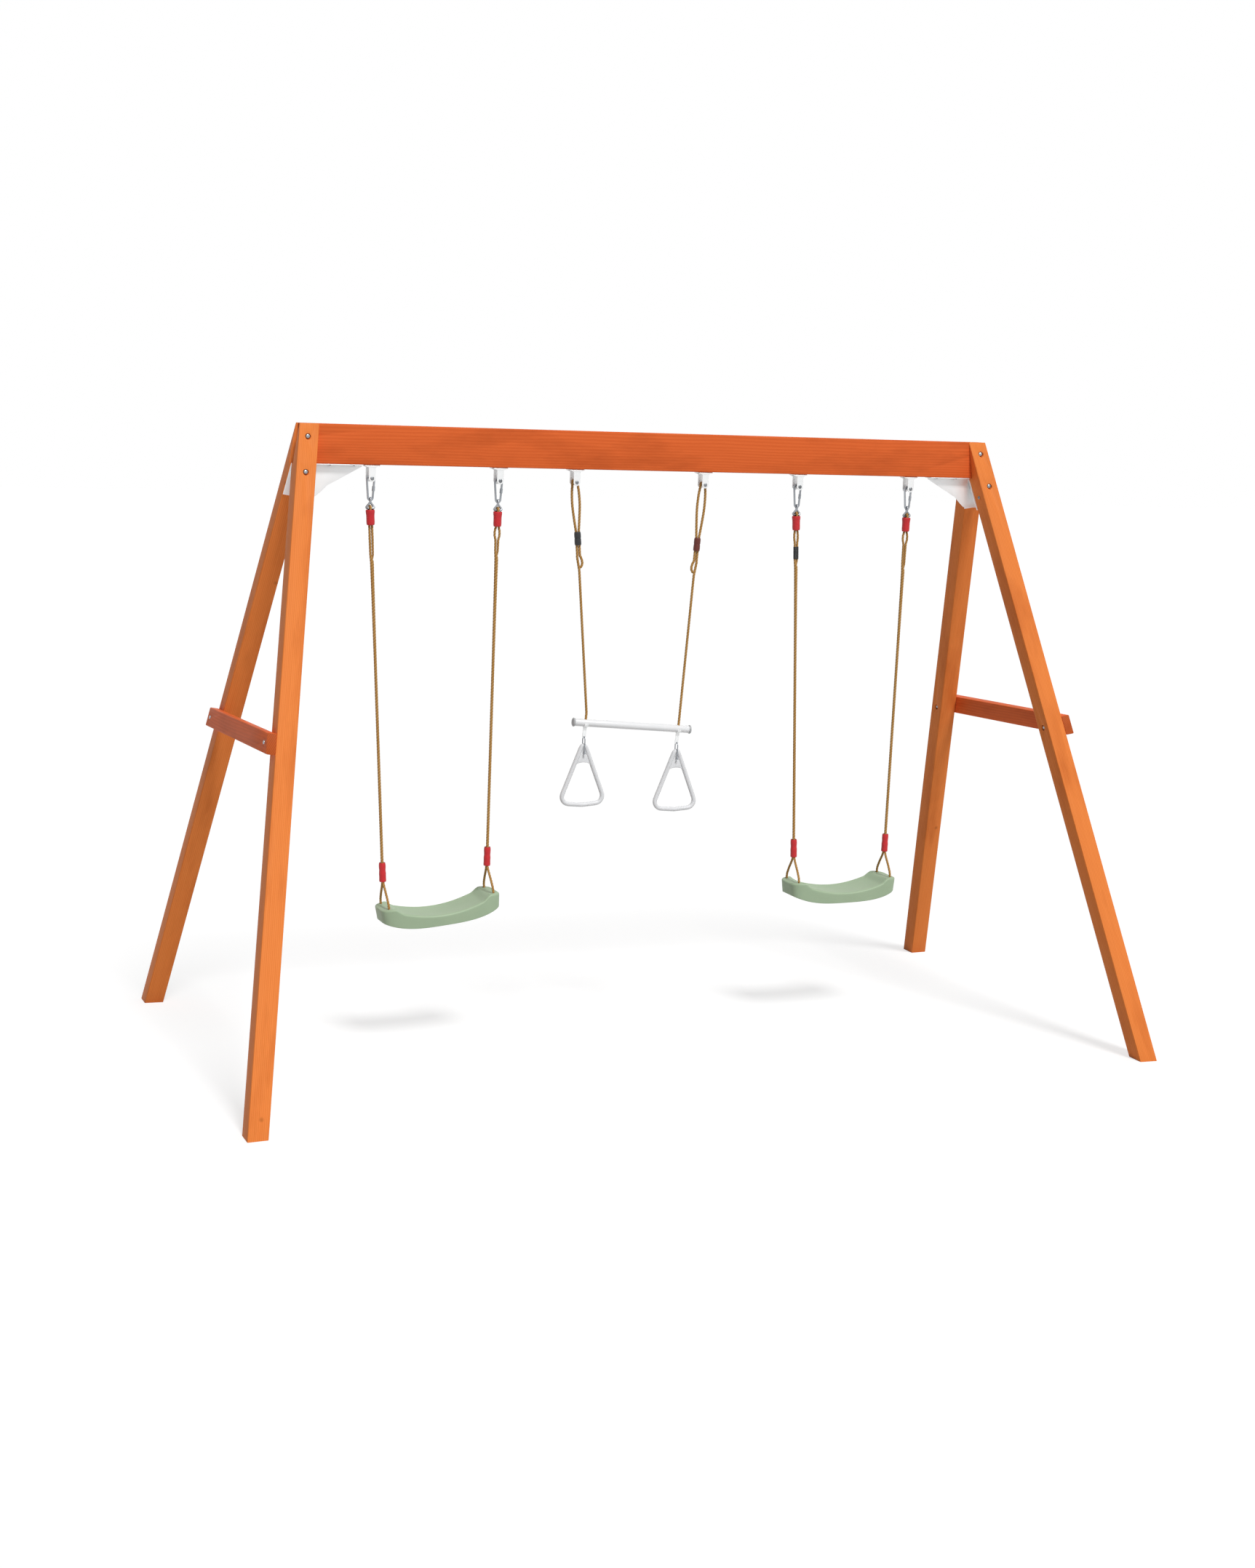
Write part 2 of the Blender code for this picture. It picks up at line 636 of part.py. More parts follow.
def make_link(name, x):
    """A pear-shaped wire link, wide at the hanger pin, with its sleeve nut closed on one limb."""
    low, high = LINK_BOTTOM_Z + LINK_BOTTOM_RADIUS, LINK_TOP_Z - LINK_TOP_RADIUS
    flat = arc((0.0, low), LINK_BOTTOM_RADIUS, 0.0, -pi, 8)
    flat += arc((0.0, high), LINK_TOP_RADIUS, pi, 0.0, 8)
    loop = tube(name + "_wire", [(x + side, 0.0, z) for side, z in flat], LINK_WIRE, cyclic=True, fineness=1,
                group="cutters")
    foot = Vector((x + LINK_BOTTOM_RADIUS, 0.0, low))
    head = Vector((x + LINK_TOP_RADIUS, 0.0, high))
    way = (head - foot).normalized()
    middle = (head + foot) / 2
    nut = bmesh.new()
    add_rod(nut, middle - way * LINK_NUT_LENGTH / 2, middle + way * LINK_NUT_LENGTH / 2, LINK_NUT_RADIUS, 6)
    finish(union(name, [settle(loop), nut]), "zinc")


def make_rope_ring(name, x):
    """A triangular wire ring turned a quarter between the link and the rope."""
    bend = LINK_WIRE + GAP + RING_WIRE
    top = [Vector((x, bend * sin(a * pi / 8), LINK_BOTTOM_Z + bend * cos(a * pi / 8))) for a in range(-4, 5, 2)]
    half, low = RING_HALF_BASE, RING_BASE_Z
    side = smooth([top[-1], (x + 0.25 * half, 0.85 * bend, LINK_BOTTOM_Z - 0.3 * RING_DROP),
                   (x + 0.75 * half, 0.45 * bend, LINK_BOTTOM_Z - 0.68 * RING_DROP),
                   (x + half, 0.12 * bend, low + RING_WIRE), (x + 0.79 * half, 0.0, low)], 2)[1:]
    other = [Vector((2 * x - p.x, -p.y, p.z)) for p in reversed(side)]
    finish(tube(name, top + side + other, RING_WIRE, cyclic=True, fineness=1), "zinc")


# Swings


def seat_matrix(number):
    x, z, tilt = SEAT_HANG[number]
    return Matrix.Translation((x, 0.0, z)) @ Matrix.Rotation(-tilt, 4, "Y")


def seat_top(x):
    """Height of the seat's top, below its raised ends, at a place along it."""
    share = min(abs(x) / (SEAT_HALF_LENGTH - SEAT_EAR_LENGTH), 1.0)
    bowl = -SEAT_SAG * (1.0 - share ** 2)
    step = min(max((abs(x) - SEAT_HALF_LENGTH + SEAT_EAR_LENGTH + SEAT_STEP_LENGTH) / SEAT_STEP_LENGTH, 0.0), 1.0)
    return bowl - SEAT_EAR_RISE * (1.0 - step * step * (3.0 - 2.0 * step))


def seat_bottom(x):
    """Height of the skirt's lower edge, deepest under the middle."""
    middle = SEAT_SAG + SEAT_EAR_RISE + SEAT_SKIRT_MIDDLE
    return (middle - SEAT_SKIRT_END) * abs(x / SEAT_HALF_LENGTH) ** 3 - middle


def make_seat(name, matrix):
    bm = bmesh.new()
    columns, rows = 16, 4
    bmesh.ops.create_grid(bm, x_segments=columns, y_segments=rows, size=1.0)
    for vert in bm.verts:
        across, deep = vert.co.x, vert.co.y
        x = across * SEAT_HALF_LENGTH
        rounding = max(abs(across) - 0.80, 0.0) / 0.20
        y = deep * SEAT_HALF_DEPTH * (1.0 - 0.22 * rounding ** 2)
        x *= 1.0 - 0.045 * deep ** 2 * max(abs(across) - 0.6, 0.0) / 0.4
        vert.co = (x, y, seat_top(x) - SEAT_DISH * (1.0 - deep ** 2))
    rim = [edge for edge in bm.edges if edge.is_boundary]
    skirt = bmesh.ops.extrude_edge_only(bm, edges=rim)["geom"]
    for vert in [item for item in skirt if isinstance(item, bmesh.types.BMVert)]:
        vert.co.z = seat_bottom(vert.co.x)
        vert.co.x *= 0.985
        vert.co.y *= 0.95
    bmesh.ops.recalc_face_normals(bm, faces=bm.faces)
    if sum(face.normal.z for face in bm.faces) < 0:
        bmesh.ops.reverse_faces(bm, faces=bm.faces)
    data = bpy.data.meshes.new(name)
    bm.to_mesh(data)
    bm.free()
    shell = put(name, data, "cutters")
    thick = shell.modifiers.new("wall", "SOLIDIFY")
    thick.thickness = SEAT_WALL
    thick.offset = -1.0
    thick.use_even_offset = True
    bm = settle(shell)
    bmesh.ops.transform(bm, matrix=matrix, verts=bm.verts)
    seat = finish(put(name, mesh_from(bm, name)), "sage_plastic")
    up = matrix.to_3x3() @ Vector((0.0, 0.0, 1.0))
    runs = []
    for x in (-SEAT_HOLE_X, SEAT_HOLE_X):
        for y in (-SEAT_HOLE_Y, SEAT_HOLE_Y):
            place = matrix @ Vector((x, y, 0.0))
            runs.append((place - up * 3 * SEAT_WALL, place + up * SEAT_WALL, STRAND_RADIUS + ROPE_CLEARANCE))
    cut(seat, rods(name + "_holes", runs))


def sleeve(name, start, direction, length, outer, inner, look):
    """A round sleeve along a rope, with (share of length, radius) points outside and inside."""
    profile = [(inner[0], 0.0)] + [(radius, -share * length) for share, radius in outer]
    profile += [(inner[1], -length), (inner[0], 0.0)]
    body = placed(turned(name, profile, 12), along(-direction, start))
    finish(put(name, mesh_from(body, name)), look)


def make_rope_line(prefix, tag, x, number, end):
    """Ring, sleeves and rope of one side of a swing. The end is -1 on the left and 1 on the right."""
    matrix = seat_matrix(number)
    make_rope_ring(prefix + "_rope_ring_" + tag, x)
    base = Vector((x, 0.0, RING_BASE_Z))
    split = matrix @ Vector((end * SEAT_HOLE_X, 0.0, LOWER_SLEEVE_ABOVE_SEAT))
    way = (split - base).normalized()
    wide = Vector((-way.z, 0.0, way.x))
    deep = Vector((0.0, 1.0, 0.0))
    bend = RING_WIRE + 2 * GAP + STRAND_RADIUS
    sleeve_top = RING_WIRE + 2 * GAP
    sleeve_end = sleeve_top + UPPER_SLEEVE_LENGTH
    thin = STRAND_RADIUS / ROPE_RADIUS

    tail, main = [], []
    for down in (DOUBLED_LENGTH, 0.5 * (DOUBLED_LENGTH + sleeve_end), sleeve_end):
        tail.append(base + way * down + wide * STRAND_OFFSET)
    for step in range(1, 6):
        share = step / 5
        angle = share * pi / 2
        far = STRAND_OFFSET + (bend - STRAND_OFFSET) * share
        place = base + way * (sleeve_end + (0.0 - sleeve_end) * share)
        tail.append(place + wide * far * cos(angle) + deep * far * sin(angle))
    main = [2 * (base + way * (p - base).dot(way)) - p for p in tail]
    over = [base - way * bend * sin(a * pi / 6) + deep * bend * cos(a * pi / 6) for a in range(1, 6)]
    points = tail + over + list(reversed(main))
    radii = [thin] * len(points)

    run = (split - base).length
    sleeve_start = run - LOWER_SLEEVE_LENGTH
    joined = DOUBLED_LENGTH + ROPE_JOIN
    for down in (joined, 0.25 * run, 0.4 * run, 0.55 * run, 0.7 * run, sleeve_start - 0.3 * ROPE_JOIN):
        points.append(base + way * down)
        radii.append(1.0)
    inside = STRAND_RADIUS + GAP
    for share, off in ((0.15, 0.15), (0.4, 1.0), (0.7, 1.0), (1.0, 1.0)):
        points.append(base + way * (sleeve_start + share * LOWER_SLEEVE_LENGTH) - deep * inside * off)
        radii.append(1.0 if share < 0.2 else thin)

    front = [Vector((end * SEAT_HOLE_X, -y, z)) for y, z in (
        (inside + 0.18 * SEAT_HOLE_Y, 0.8 * LOWER_SLEEVE_ABOVE_SEAT),
        (0.70 * SEAT_HOLE_Y, 0.45 * LOWER_SLEEVE_ABOVE_SEAT),
        (0.95 * SEAT_HOLE_Y, 0.20 * LOWER_SLEEVE_ABOVE_SEAT),
        (SEAT_HOLE_Y, 1.2 * SEAT_WALL), (SEAT_HOLE_Y, -SEAT_WALL))]
    under = seat_top(SEAT_HOLE_X) - SEAT_DISH - SEAT_WALL - STRAND_RADIUS - ROPE_CLEARANCE
    front += [Vector((end * SEAT_HOLE_X, -y, z)) for y, z in (
        (SEAT_HOLE_Y - 0.12 * STRAND_RADIUS, under + 0.8 * STRAND_RADIUS),
        (SEAT_HOLE_Y - 0.7 * STRAND_RADIUS, under + 0.24 * STRAND_RADIUS), (SEAT_HOLE_Y - 1.9 * STRAND_RADIUS, under))]
    rear = [Vector((p.x, -p.y, p.z)) for p in reversed(front)]
    bridle = [matrix @ p for p in front + rear]
    points += bridle
    points += [base + way * (sleeve_start + share * LOWER_SLEEVE_LENGTH) + deep * inside for share in (1.0, 0.7, 0.45)]
    radii += [thin] * (len(bridle) + 3)
    finish(tube(prefix + "_rope_" + tag, points, ROPE_RADIUS, radii), "rope")

    bore_top = bend + STRAND_RADIUS + ROPE_CLEARANCE
    bore_end = STRAND_OFFSET + STRAND_RADIUS + ROPE_CLEARANCE
    outer = ((0.0, UPPER_SLEEVE_TOP_RADIUS), (0.85, 0.5 * (UPPER_SLEEVE_TOP_RADIUS + UPPER_SLEEVE_END_RADIUS)),
             (1.0, UPPER_SLEEVE_END_RADIUS))
    sleeve(prefix + "_upper_sleeve_" + tag, base + way * sleeve_top, way, UPPER_SLEEVE_LENGTH, outer,
           (bore_top, bore_end), "red_plastic")
    bore = inside + STRAND_RADIUS + ROPE_CLEARANCE
    edge = LOWER_SLEEVE_RADIUS - 0.4 * SLEEVE_WALL
    outer = ((0.0, edge), (0.05, LOWER_SLEEVE_RADIUS), (0.95, LOWER_SLEEVE_RADIUS), (1.0, edge))
    sleeve(prefix + "_lower_sleeve_" + tag, base + way * sleeve_start, way, LOWER_SLEEVE_LENGTH, outer,
           (bore, bore), "red_plastic")


def make_swing(prefix, number):
    centre = SWING_HANGER_CENTRES[number]
    for end, tag in ((-1, "left"), (1, "right")):
        x = centre + end * SWING_HANGER_SPACING / 2
        make_link(prefix + "_screw_link_" + tag, x)
        make_rope_line(prefix, tag, x, number, end)
    make_seat(prefix + "_seat", seat_matrix(number))


# Trapeze


def bar_matrix():
    return Matrix.Translation((BAR_CENTRE[0], 0.0, BAR_CENTRE[1])) @ Matrix.Rotation(BAR_DROOP, 4, "Y")


def make_trapeze_rope(tag, number, end, look):
    """A rope that loops over its hanger pin, runs doubled through a sleeve and then single to the bar."""
    matrix = bar_matrix()
    x = TRAPEZE_HANGERS[number]
    pin = Vector((x, 0.0, PIN_Z))
    foot = matrix @ Vector((end * BAR_ROPE_X, 0.0, ROPE_ENTRY))
    bend = PIN_RADIUS + GAP + TRAPEZE_ROPE_RADIUS
    way = (foot - pin).normalized()
    wide = Vector((-way.z, 0.0, way.x)) * -end
    beside = TRAPEZE_ROPE_RADIUS + GAP
    top = TRAPEZE_SLEEVE_DROP[number]
    tail_end = TRAPEZE_TAIL_DROP[number]
    tail = [pin + way * down + wide * side for down, side in (
        (tail_end, beside), (0.5 * (tail_end + top + TRAPEZE_SLEEVE_LENGTH), beside),
        (top + TRAPEZE_SLEEVE_LENGTH, beside), (top, beside), (0.75 * top, 0.7 * TRAPEZE_BULGE),
        (0.45 * top, TRAPEZE_BULGE), (0.2 * top, 0.93 * TRAPEZE_BULGE), (0.06 * top, 1.1 * bend))]
    over = [pin + wide * bend * cos(a * pi / 8) - way * bend * sin(a * pi / 8) for a in range(9)]
    main = [2 * (pin + way * (p - pin).dot(way)) - p for p in tail]
    points = tail + over + list(reversed(main))
    run = (foot - pin).length
    for down in (tail_end + ROPE_JOIN, 0.55 * run, 0.7 * run, 0.85 * run):
        points.append(pin + way * down)
    for z in (ROPE_ENTRY, 0.63 * ROPE_ENTRY, BAR_RADIUS - BAR_HOLE_DEPTH + ROPE_CLEARANCE):
        points.append(matrix @ Vector((end * BAR_ROPE_X, 0.0, z)))
    finish(tube("trapeze_rope_" + tag, points, TRAPEZE_ROPE_RADIUS), "rope")
    bore = beside + TRAPEZE_ROPE_RADIUS + GAP
    outer = ((0.0, TRAPEZE_SLEEVE_RADIUS), (1.0, TRAPEZE_SLEEVE_RADIUS))
    sleeve("trapeze_sleeve_" + tag, pin + way * top, way, TRAPEZE_SLEEVE_LENGTH, outer, (bore, bore), look)


def make_bar():
    matrix = bar_matrix()
    half = BAR_LENGTH / 2
    ends = [matrix @ Vector((side * half, 0.0, 0.0)) for side in (-1, 1)]
    bar = rods("trapeze_bar", [(ends[0], ends[1], BAR_RADIUS)], 16, "wooden_swing_set")
    finish(bar, "white_steel")
    runs = []
    for side in (-1, 1):
        low = matrix @ Vector((side * BAR_ROPE_X, 0.0, BAR_RADIUS - BAR_HOLE_DEPTH))
        high = matrix @ Vector((side * BAR_ROPE_X, 0.0, 2 * BAR_RADIUS))
        runs.append((low, high, TRAPEZE_ROPE_RADIUS + BOLT_CLEARANCE))
    cut(bar, rods("bar_rope_holes", runs))
    profile = [(0.0, CAP_LENGTH), (0.7 * CAP_RADIUS, CAP_LENGTH), (CAP_RADIUS, 0.55 * CAP_LENGTH)]
    profile += [(0.92 * CAP_RADIUS, 0.0), (0.0, 0.0)]
    for side, tag in ((-1, "left"), (1, "right")):
        place = matrix @ Vector((side * (half + GAP), 0.0, 0.0))
        outward = matrix.to_3x3() @ Vector((side, 0.0, 0.0))
        cap = placed(turned("cap", profile, 16), along(outward, place))
        finish(put("bar_end_cap_" + tag, mesh_from(cap, "cap")), "grey_plastic")


def strap_hole(end):
    drop = BAR_RADIUS + STRAP_DROP - STRAP_HOLE_UP
    return bar_matrix() @ Vector((end * BAR_ROPE_X, 0.0, -drop))


def make_strap(tag, end):
    """A saddle under the bar with a tab and a hole for the shackle."""
    matrix = bar_matrix()
    x = end * BAR_ROPE_X
    inner = BAR_RADIUS + GAP
    saddle = bmesh.new()
    add_rod(saddle, (x - STRAP_WIDTH / 2, 0, 0), (x + STRAP_WIDTH / 2, 0, 0), inner + STEEL, 16)
    trim(saddle, (0.0, 0.0, -0.25 * BAR_RADIUS), (0.0, 0.0, 1.0))
    length = STRAP_DROP - STEEL / 2
    tab = box_bmesh((STRAP_WIDTH, STRAP_TAB, length), (x, 0.0, -BAR_RADIUS - STRAP_DROP + length / 2))
    for bm in (saddle, tab):
        bmesh.ops.transform(bm, matrix=matrix, verts=bm.verts)
    strap = finish(union("ring_strap_" + tag, [saddle, tab]), "white_steel")
    start = matrix @ Vector((x - STRAP_WIDTH, 0.0, 0.0))
    stop = matrix @ Vector((x + STRAP_WIDTH, 0.0, 0.0))
    seat = rods("strap_bar_seat_" + tag, [(start, stop, inner)], 16)
    hole = strap_hole(end)
    side = Vector((0.0, STRAP_TAB, 0.0))
    eye = rods("strap_eye_" + tag, [(hole - side, hole + side, SHACKLE_WIRE + ROPE_CLEARANCE)])
    cut(strap, seat, eye)


def make_shackle(tag, end):
    """A bow through the strap's hole, with its pin through the gym ring's web."""
    hole = strap_hole(end)
    bow_z = hole.z - SHACKLE_RADIUS
    pin_z = bow_z - SHACKLE_PIN_DROP
    bow = [(hole.x, SHACKLE_RADIUS, pin_z - SHACKLE_WIRE), (hole.x, SHACKLE_RADIUS, bow_z - 0.5 * SHACKLE_PIN_DROP)]
    bow += [(hole.x, SHACKLE_RADIUS * cos(a * pi / 8), bow_z + SHACKLE_RADIUS * sin(a * pi / 8)) for a in range(9)]
    bow += [(hole.x, -SHACKLE_RADIUS, bow_z - 0.5 * SHACKLE_PIN_DROP), (hole.x, -SHACKLE_RADIUS, pin_z - SHACKLE_WIRE)]
    curve = tube("bow_" + tag, bow, SHACKLE_WIRE, fineness=1, group="cutters")
    pin = bmesh.new()
    out = SHACKLE_RADIUS + 2 * SHACKLE_WIRE
    add_rod(pin, (hole.x, -out, pin_z), (hole.x, out, pin_z), 1.2 * SHACKLE_WIRE)
    finish(union("ring_shackle_" + tag, [settle(curve), pin]), "zinc")


def make_gym_ring(tag, end):
    hole = strap_hole(end)
    pin_z = hole.z - SHACKLE_RADIUS - SHACKLE_PIN_DROP
    half = GYM_HALF_WIDTH - GYM_RING_TUBE
    top_bend, low_bend = GYM_TOP_BEND, GYM_LOW_BEND
    apex_z = pin_z + GYM_APEX_ABOVE_PIN - GYM_RING_TUBE
    low_z = pin_z - GYM_BOTTOM_BELOW_PIN + GYM_RING_TUBE
    corner = (half - low_bend, low_z + low_bend)
    tip = (0.0, apex_z - top_bend)
    rise = Vector((corner[0], tip[1] - corner[1]))
    slope = atan2(rise.x, rise.y) + asin((low_bend - top_bend) / rise.length)
    flat = arc(tip, top_bend, slope, pi - slope, 6)
    flat += arc((-corner[0], corner[1]), low_bend, pi - slope, 1.47 * pi, 6)
    flat += [(0.0, low_z - GYM_BASE_BOW)]
    flat += arc(corner, low_bend, 1.53 * pi, 2 * pi + slope, 6)
    curve = tube("gym_tube_" + tag, [(hole.x + x, 0.0, z) for x, z in flat], GYM_RING_TUBE, cyclic=True, group="cutters")
    web_low = pin_z - GYM_WEB_BELOW_PIN
    spread = top_bend + (tip[1] - web_low) * tan(slope)
    outline = [(-0.8 * top_bend, tip[1] + 0.3 * top_bend), (0.8 * top_bend, tip[1] + 0.3 * top_bend),
               (spread, web_low), (-spread, web_low)]
    web = outline_plate("gym_web_" + tag, outline, GYM_WEB_THICKNESS, (hole.x, 0.0, 0.0))
    ring = finish(union("gym_ring_" + tag, [settle(curve), web]), "white_plastic")
    reach = Vector((0.0, 2 * GYM_RING_TUBE, 0.0))
    place = Vector((hole.x, 0.0, pin_z))
    cut(ring, rods("gym_pin_hole_" + tag, [(place - reach, place + reach, 1.2 * SHACKLE_WIRE + PIN_CLEARANCE)]))


def make_trapeze():
    make_trapeze_rope("left", 0, -1, "black_plastic")
    make_trapeze_rope("right", 1, 1, "brown_plastic")
    make_bar()
    for end, tag in ((-1, "left"), (1, "right")):
        make_strap(tag, end)
        make_shackle(tag, end)
        make_gym_ring(tag, end)


def main():
    clear_scene()
    make_frame()
    make_hangers()
    make_swing("left_swing", 0)
    make_swing("right_swing", 1)
    make_trapeze()


main()
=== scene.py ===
import bmesh
import bpy
import numpy as np
from mathutils import Matrix, Vector


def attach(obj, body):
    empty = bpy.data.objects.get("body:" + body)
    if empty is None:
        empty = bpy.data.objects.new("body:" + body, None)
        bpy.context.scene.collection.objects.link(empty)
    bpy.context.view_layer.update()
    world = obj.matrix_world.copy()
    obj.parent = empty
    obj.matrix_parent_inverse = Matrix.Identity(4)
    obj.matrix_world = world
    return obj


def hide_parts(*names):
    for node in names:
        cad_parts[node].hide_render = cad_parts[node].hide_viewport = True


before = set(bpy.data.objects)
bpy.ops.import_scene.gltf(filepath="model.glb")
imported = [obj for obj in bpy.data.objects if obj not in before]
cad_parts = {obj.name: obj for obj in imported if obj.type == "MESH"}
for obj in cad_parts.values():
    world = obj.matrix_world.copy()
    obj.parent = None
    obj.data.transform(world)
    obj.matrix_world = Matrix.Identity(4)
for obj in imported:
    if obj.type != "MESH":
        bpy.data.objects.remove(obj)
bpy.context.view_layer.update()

print("frame loaded with", len(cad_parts), "nodes")

# metres throughout, +Z up, X along the beam, -Y the front
layout = {
    "height": 2.100, "halfSpan": 1.262, "apexHalfDepth": 0.026711,
    "sideSplay": np.radians(9.28), "legLean": np.radians(21.269023),
    "beamUnderside": 1.972, "pinZ": 1.928,
    "linkTopZ": 1.9358, "linkBottomZ": 1.8568, "ringBaseZ": 1.8298,
    "gap": 0.0003,
    "swingHangers": ((-1.018, -0.578), (0.530, 0.970)),
    "trapezeHangers": (-0.306, 0.167),
}
sideNames = {-1: "left", 1: "right"}
faceNames = {-1: "front", 1: "rear"}
swings = ("left_swing", "right_swing")
xAxis, yAxis, zAxis = np.eye(3)
pi = np.pi


def colour(code):
    # sRGB hex to linear: the low end is divided, the rest follows the 2.4 power curve
    channels = np.array([int(code[i:i + 2], 16) for i in (0, 2, 4)]) / 255
    bent = np.where(channels <= 0.04045, channels / 12.92, ((channels + 0.055) / 1.055) ** 2.4)
    return (*[float(c) for c in bent], 1.0)


def addNode(tree, kind, values=None, links=None):
    # a key that the node itself has is a setting, any other is a socket; a linked node gives its first output
    node = tree.nodes.new("ShaderNode" + kind)
    for key, value in (values or {}).items():
        if isinstance(key, str) and hasattr(node, key):
            setattr(node, key, value)
        else:
            node.inputs[key].default_value = value
    for key, source in (links or {}).items():
        output = source.outputs[0] if isinstance(source, bpy.types.Node) else source
        tree.links.new(output, node.inputs[key])
    return node


def newMaterial(name):
    made = bpy.data.materials.new(name)
    made.use_nodes = True
    made.node_tree.nodes.clear()
    return made, made.node_tree


def closeMaterial(tree, values, links, height, strength, distance):
    # a principled surface with a bump from the height
    bump = addNode(tree, "Bump", {"Strength": strength, "Distance": distance}, {"Height": height})
    shader = addNode(tree, "BsdfPrincipled", values, {**links, "Normal": bump})
    addNode(tree, "OutputMaterial", links={"Surface": shader})


def mixed(tree, share, first, second):
    # the share is a node, each colour a socket or a hex code; 6 and 7 are the node's two colour sockets
    codes = {key: colour(value) for key, value in ((6, first), (7, second)) if isinstance(value, str)}
    sockets = {key: value for key, value in ((0, share), (6, first), (7, second)) if key not in codes}
    return addNode(tree, "Mix", {"data_type": "RGBA", **codes}, sockets).outputs[2]


timberLook = {
    # pale spring wood, summer wood, where the stain soaks in
    "leg": ("F69049", "E27129", "BB551C"),
    "beam": ("EC7037", "D45B27", "A8461C"),
    "end": ("C9602C", "A94C20", "8E3F1B"),
    "knot": "8E4219",
    "ringSpacing": 0.0052,
    "fibreWidth": 0.0016,   # real fibres are finer, drawn this wide so that they show
    "knotSpacing": 0.21,
    "roughness": 0.5,
}


def timberMaterial(name, tones, ringDepth):
    # planed softwood under a satin orange-brown stain: long soft streaks, faint rings, a few knots
    made, tree = newMaterial(name)
    pale, summer, soaked = timberLook[tones]
    # coordinates run along the grain, then across it in the other two
    grain = addNode(tree, "Attribute", {"attribute_name": "grain"}).outputs["Vector"]
    fine = 1.0 / timberLook["fibreWidth"]
    noises = []
    for scale, detail, roughness in (((1.6, 9.0, 9.0), 2.0, 0.5), ((fine * 0.012, fine, fine), 3.0, 0.6),
                                     ((3.2, 13.0, 13.0), 4.0, 0.55)):
        stretched = addNode(tree, "Mapping", {"Scale": scale}, {"Vector": grain})
        noises.append(addNode(tree, "TexNoise", {"Scale": 1.0, "Detail": detail, "Roughness": roughness},
                              {"Vector": stretched}))
    sway, fibres, patches = noises
    # the pith stands beside the post, so the rings cross its faces as wide arcs
    pith = addNode(tree, "VectorMath", {"operation": "ADD", 1: (0.0, 0.062, -0.047)}, {0: grain})
    flat = addNode(tree, "VectorMath", {"operation": "MULTIPLY", 1: (0.0, 1.0, 1.0)}, {0: pith})
    radius = addNode(tree, "VectorMath", {"operation": "LENGTH"}, {0: flat}).outputs["Value"]
    turns = addNode(tree, "Math", {"operation": "MULTIPLY", 1: 2 * pi / timberLook["ringSpacing"]}, {0: radius})
    warped = addNode(tree, "Math", {"operation": "MULTIPLY_ADD", 1: 13.0}, {0: sway, 2: turns})
    wave = addNode(tree, "Math", {"operation": "SINE"}, {0: warped})
    rings = addNode(tree, "MapRange", {"From Min": -0.6, "From Max": 1.0}, {"Value": wave})
    ringShare = addNode(tree, "Math", {"operation": "MULTIPLY", 1: ringDepth}, {0: rings})
    base = mixed(tree, ringShare, pale, summer)
    knots = addNode(tree, "TexVoronoi", {"Scale": 1.0 / timberLook["knotSpacing"], "Randomness": 1.0},
                    {"Vector": grain})
    for source, tone, start, end, most, curve in ((fibres, summer, 0.42, 0.75, 0.42, "LINEAR"),
                                                  (patches, soaked, 0.50, 0.78, 0.50, "LINEAR"),
                                                  (knots, timberLook["knot"], 0.052, 0.006, 0.42, "SMOOTHSTEP")):
        share = addNode(tree, "MapRange", {"interpolation_type": curve, "From Min": start, "From Max": end,
                                           "To Max": most}, {"Value": source})
        base = mixed(tree, share, base, tone)
    relief = addNode(tree, "Math", {"operation": "MULTIPLY_ADD", 1: 0.35}, {0: rings, 2: fibres})
    rough = addNode(tree, "MapRange", {"To Min": timberLook["roughness"] - 0.08,
                                       "To Max": timberLook["roughness"] + 0.14}, {"Value": fibres})
    closeMaterial(tree, {"Specular IOR Level": 0.10}, {"Base Color": base, "Roughness": rough},
                  relief, 0.25, 0.0005)
    return made


def speckledMaterial(name, base, deep, grit, roughness, bump, values=None, share=0.5):
    # a paint, coat or moulding: slow shifts of tone, a grit in the surface, uneven sheen
    made, tree = newMaterial(name)
    place = addNode(tree, "TexCoord").outputs["Object"]
    slow = addNode(tree, "TexNoise", {"Scale": 9.0, "Detail": 3.0}, {"Vector": place})
    fine = addNode(tree, "TexNoise", {"Scale": 1.0 / grit, "Detail": 2.0}, {"Vector": place})
    tone = addNode(tree, "MapRange", {"From Min": 0.35, "From Max": 0.75, "To Max": share}, {"Value": slow})
    rough = addNode(tree, "MapRange", {"From Min": 0.3, "From Max": 0.7, "To Min": roughness - 0.06,
                                       "To Max": roughness + 0.08}, {"Value": fine})
    closeMaterial(tree, values or {}, {"Base Color": mixed(tree, tone, base, deep), "Roughness": rough},
                  fine, bump, grit)
    return made


ropeLook = {
    # the valley colour is painted shade for the grooves between the strands
    "pale": "D4A45E", "deep": "AC7C3A", "valley": "7A5428",
    "strands": 3,
    "layLength": 0.030,     # one full turn of the strands
    "yarnsAround": 15,      # yarns seen round the rope, fewer than real so that they show
}


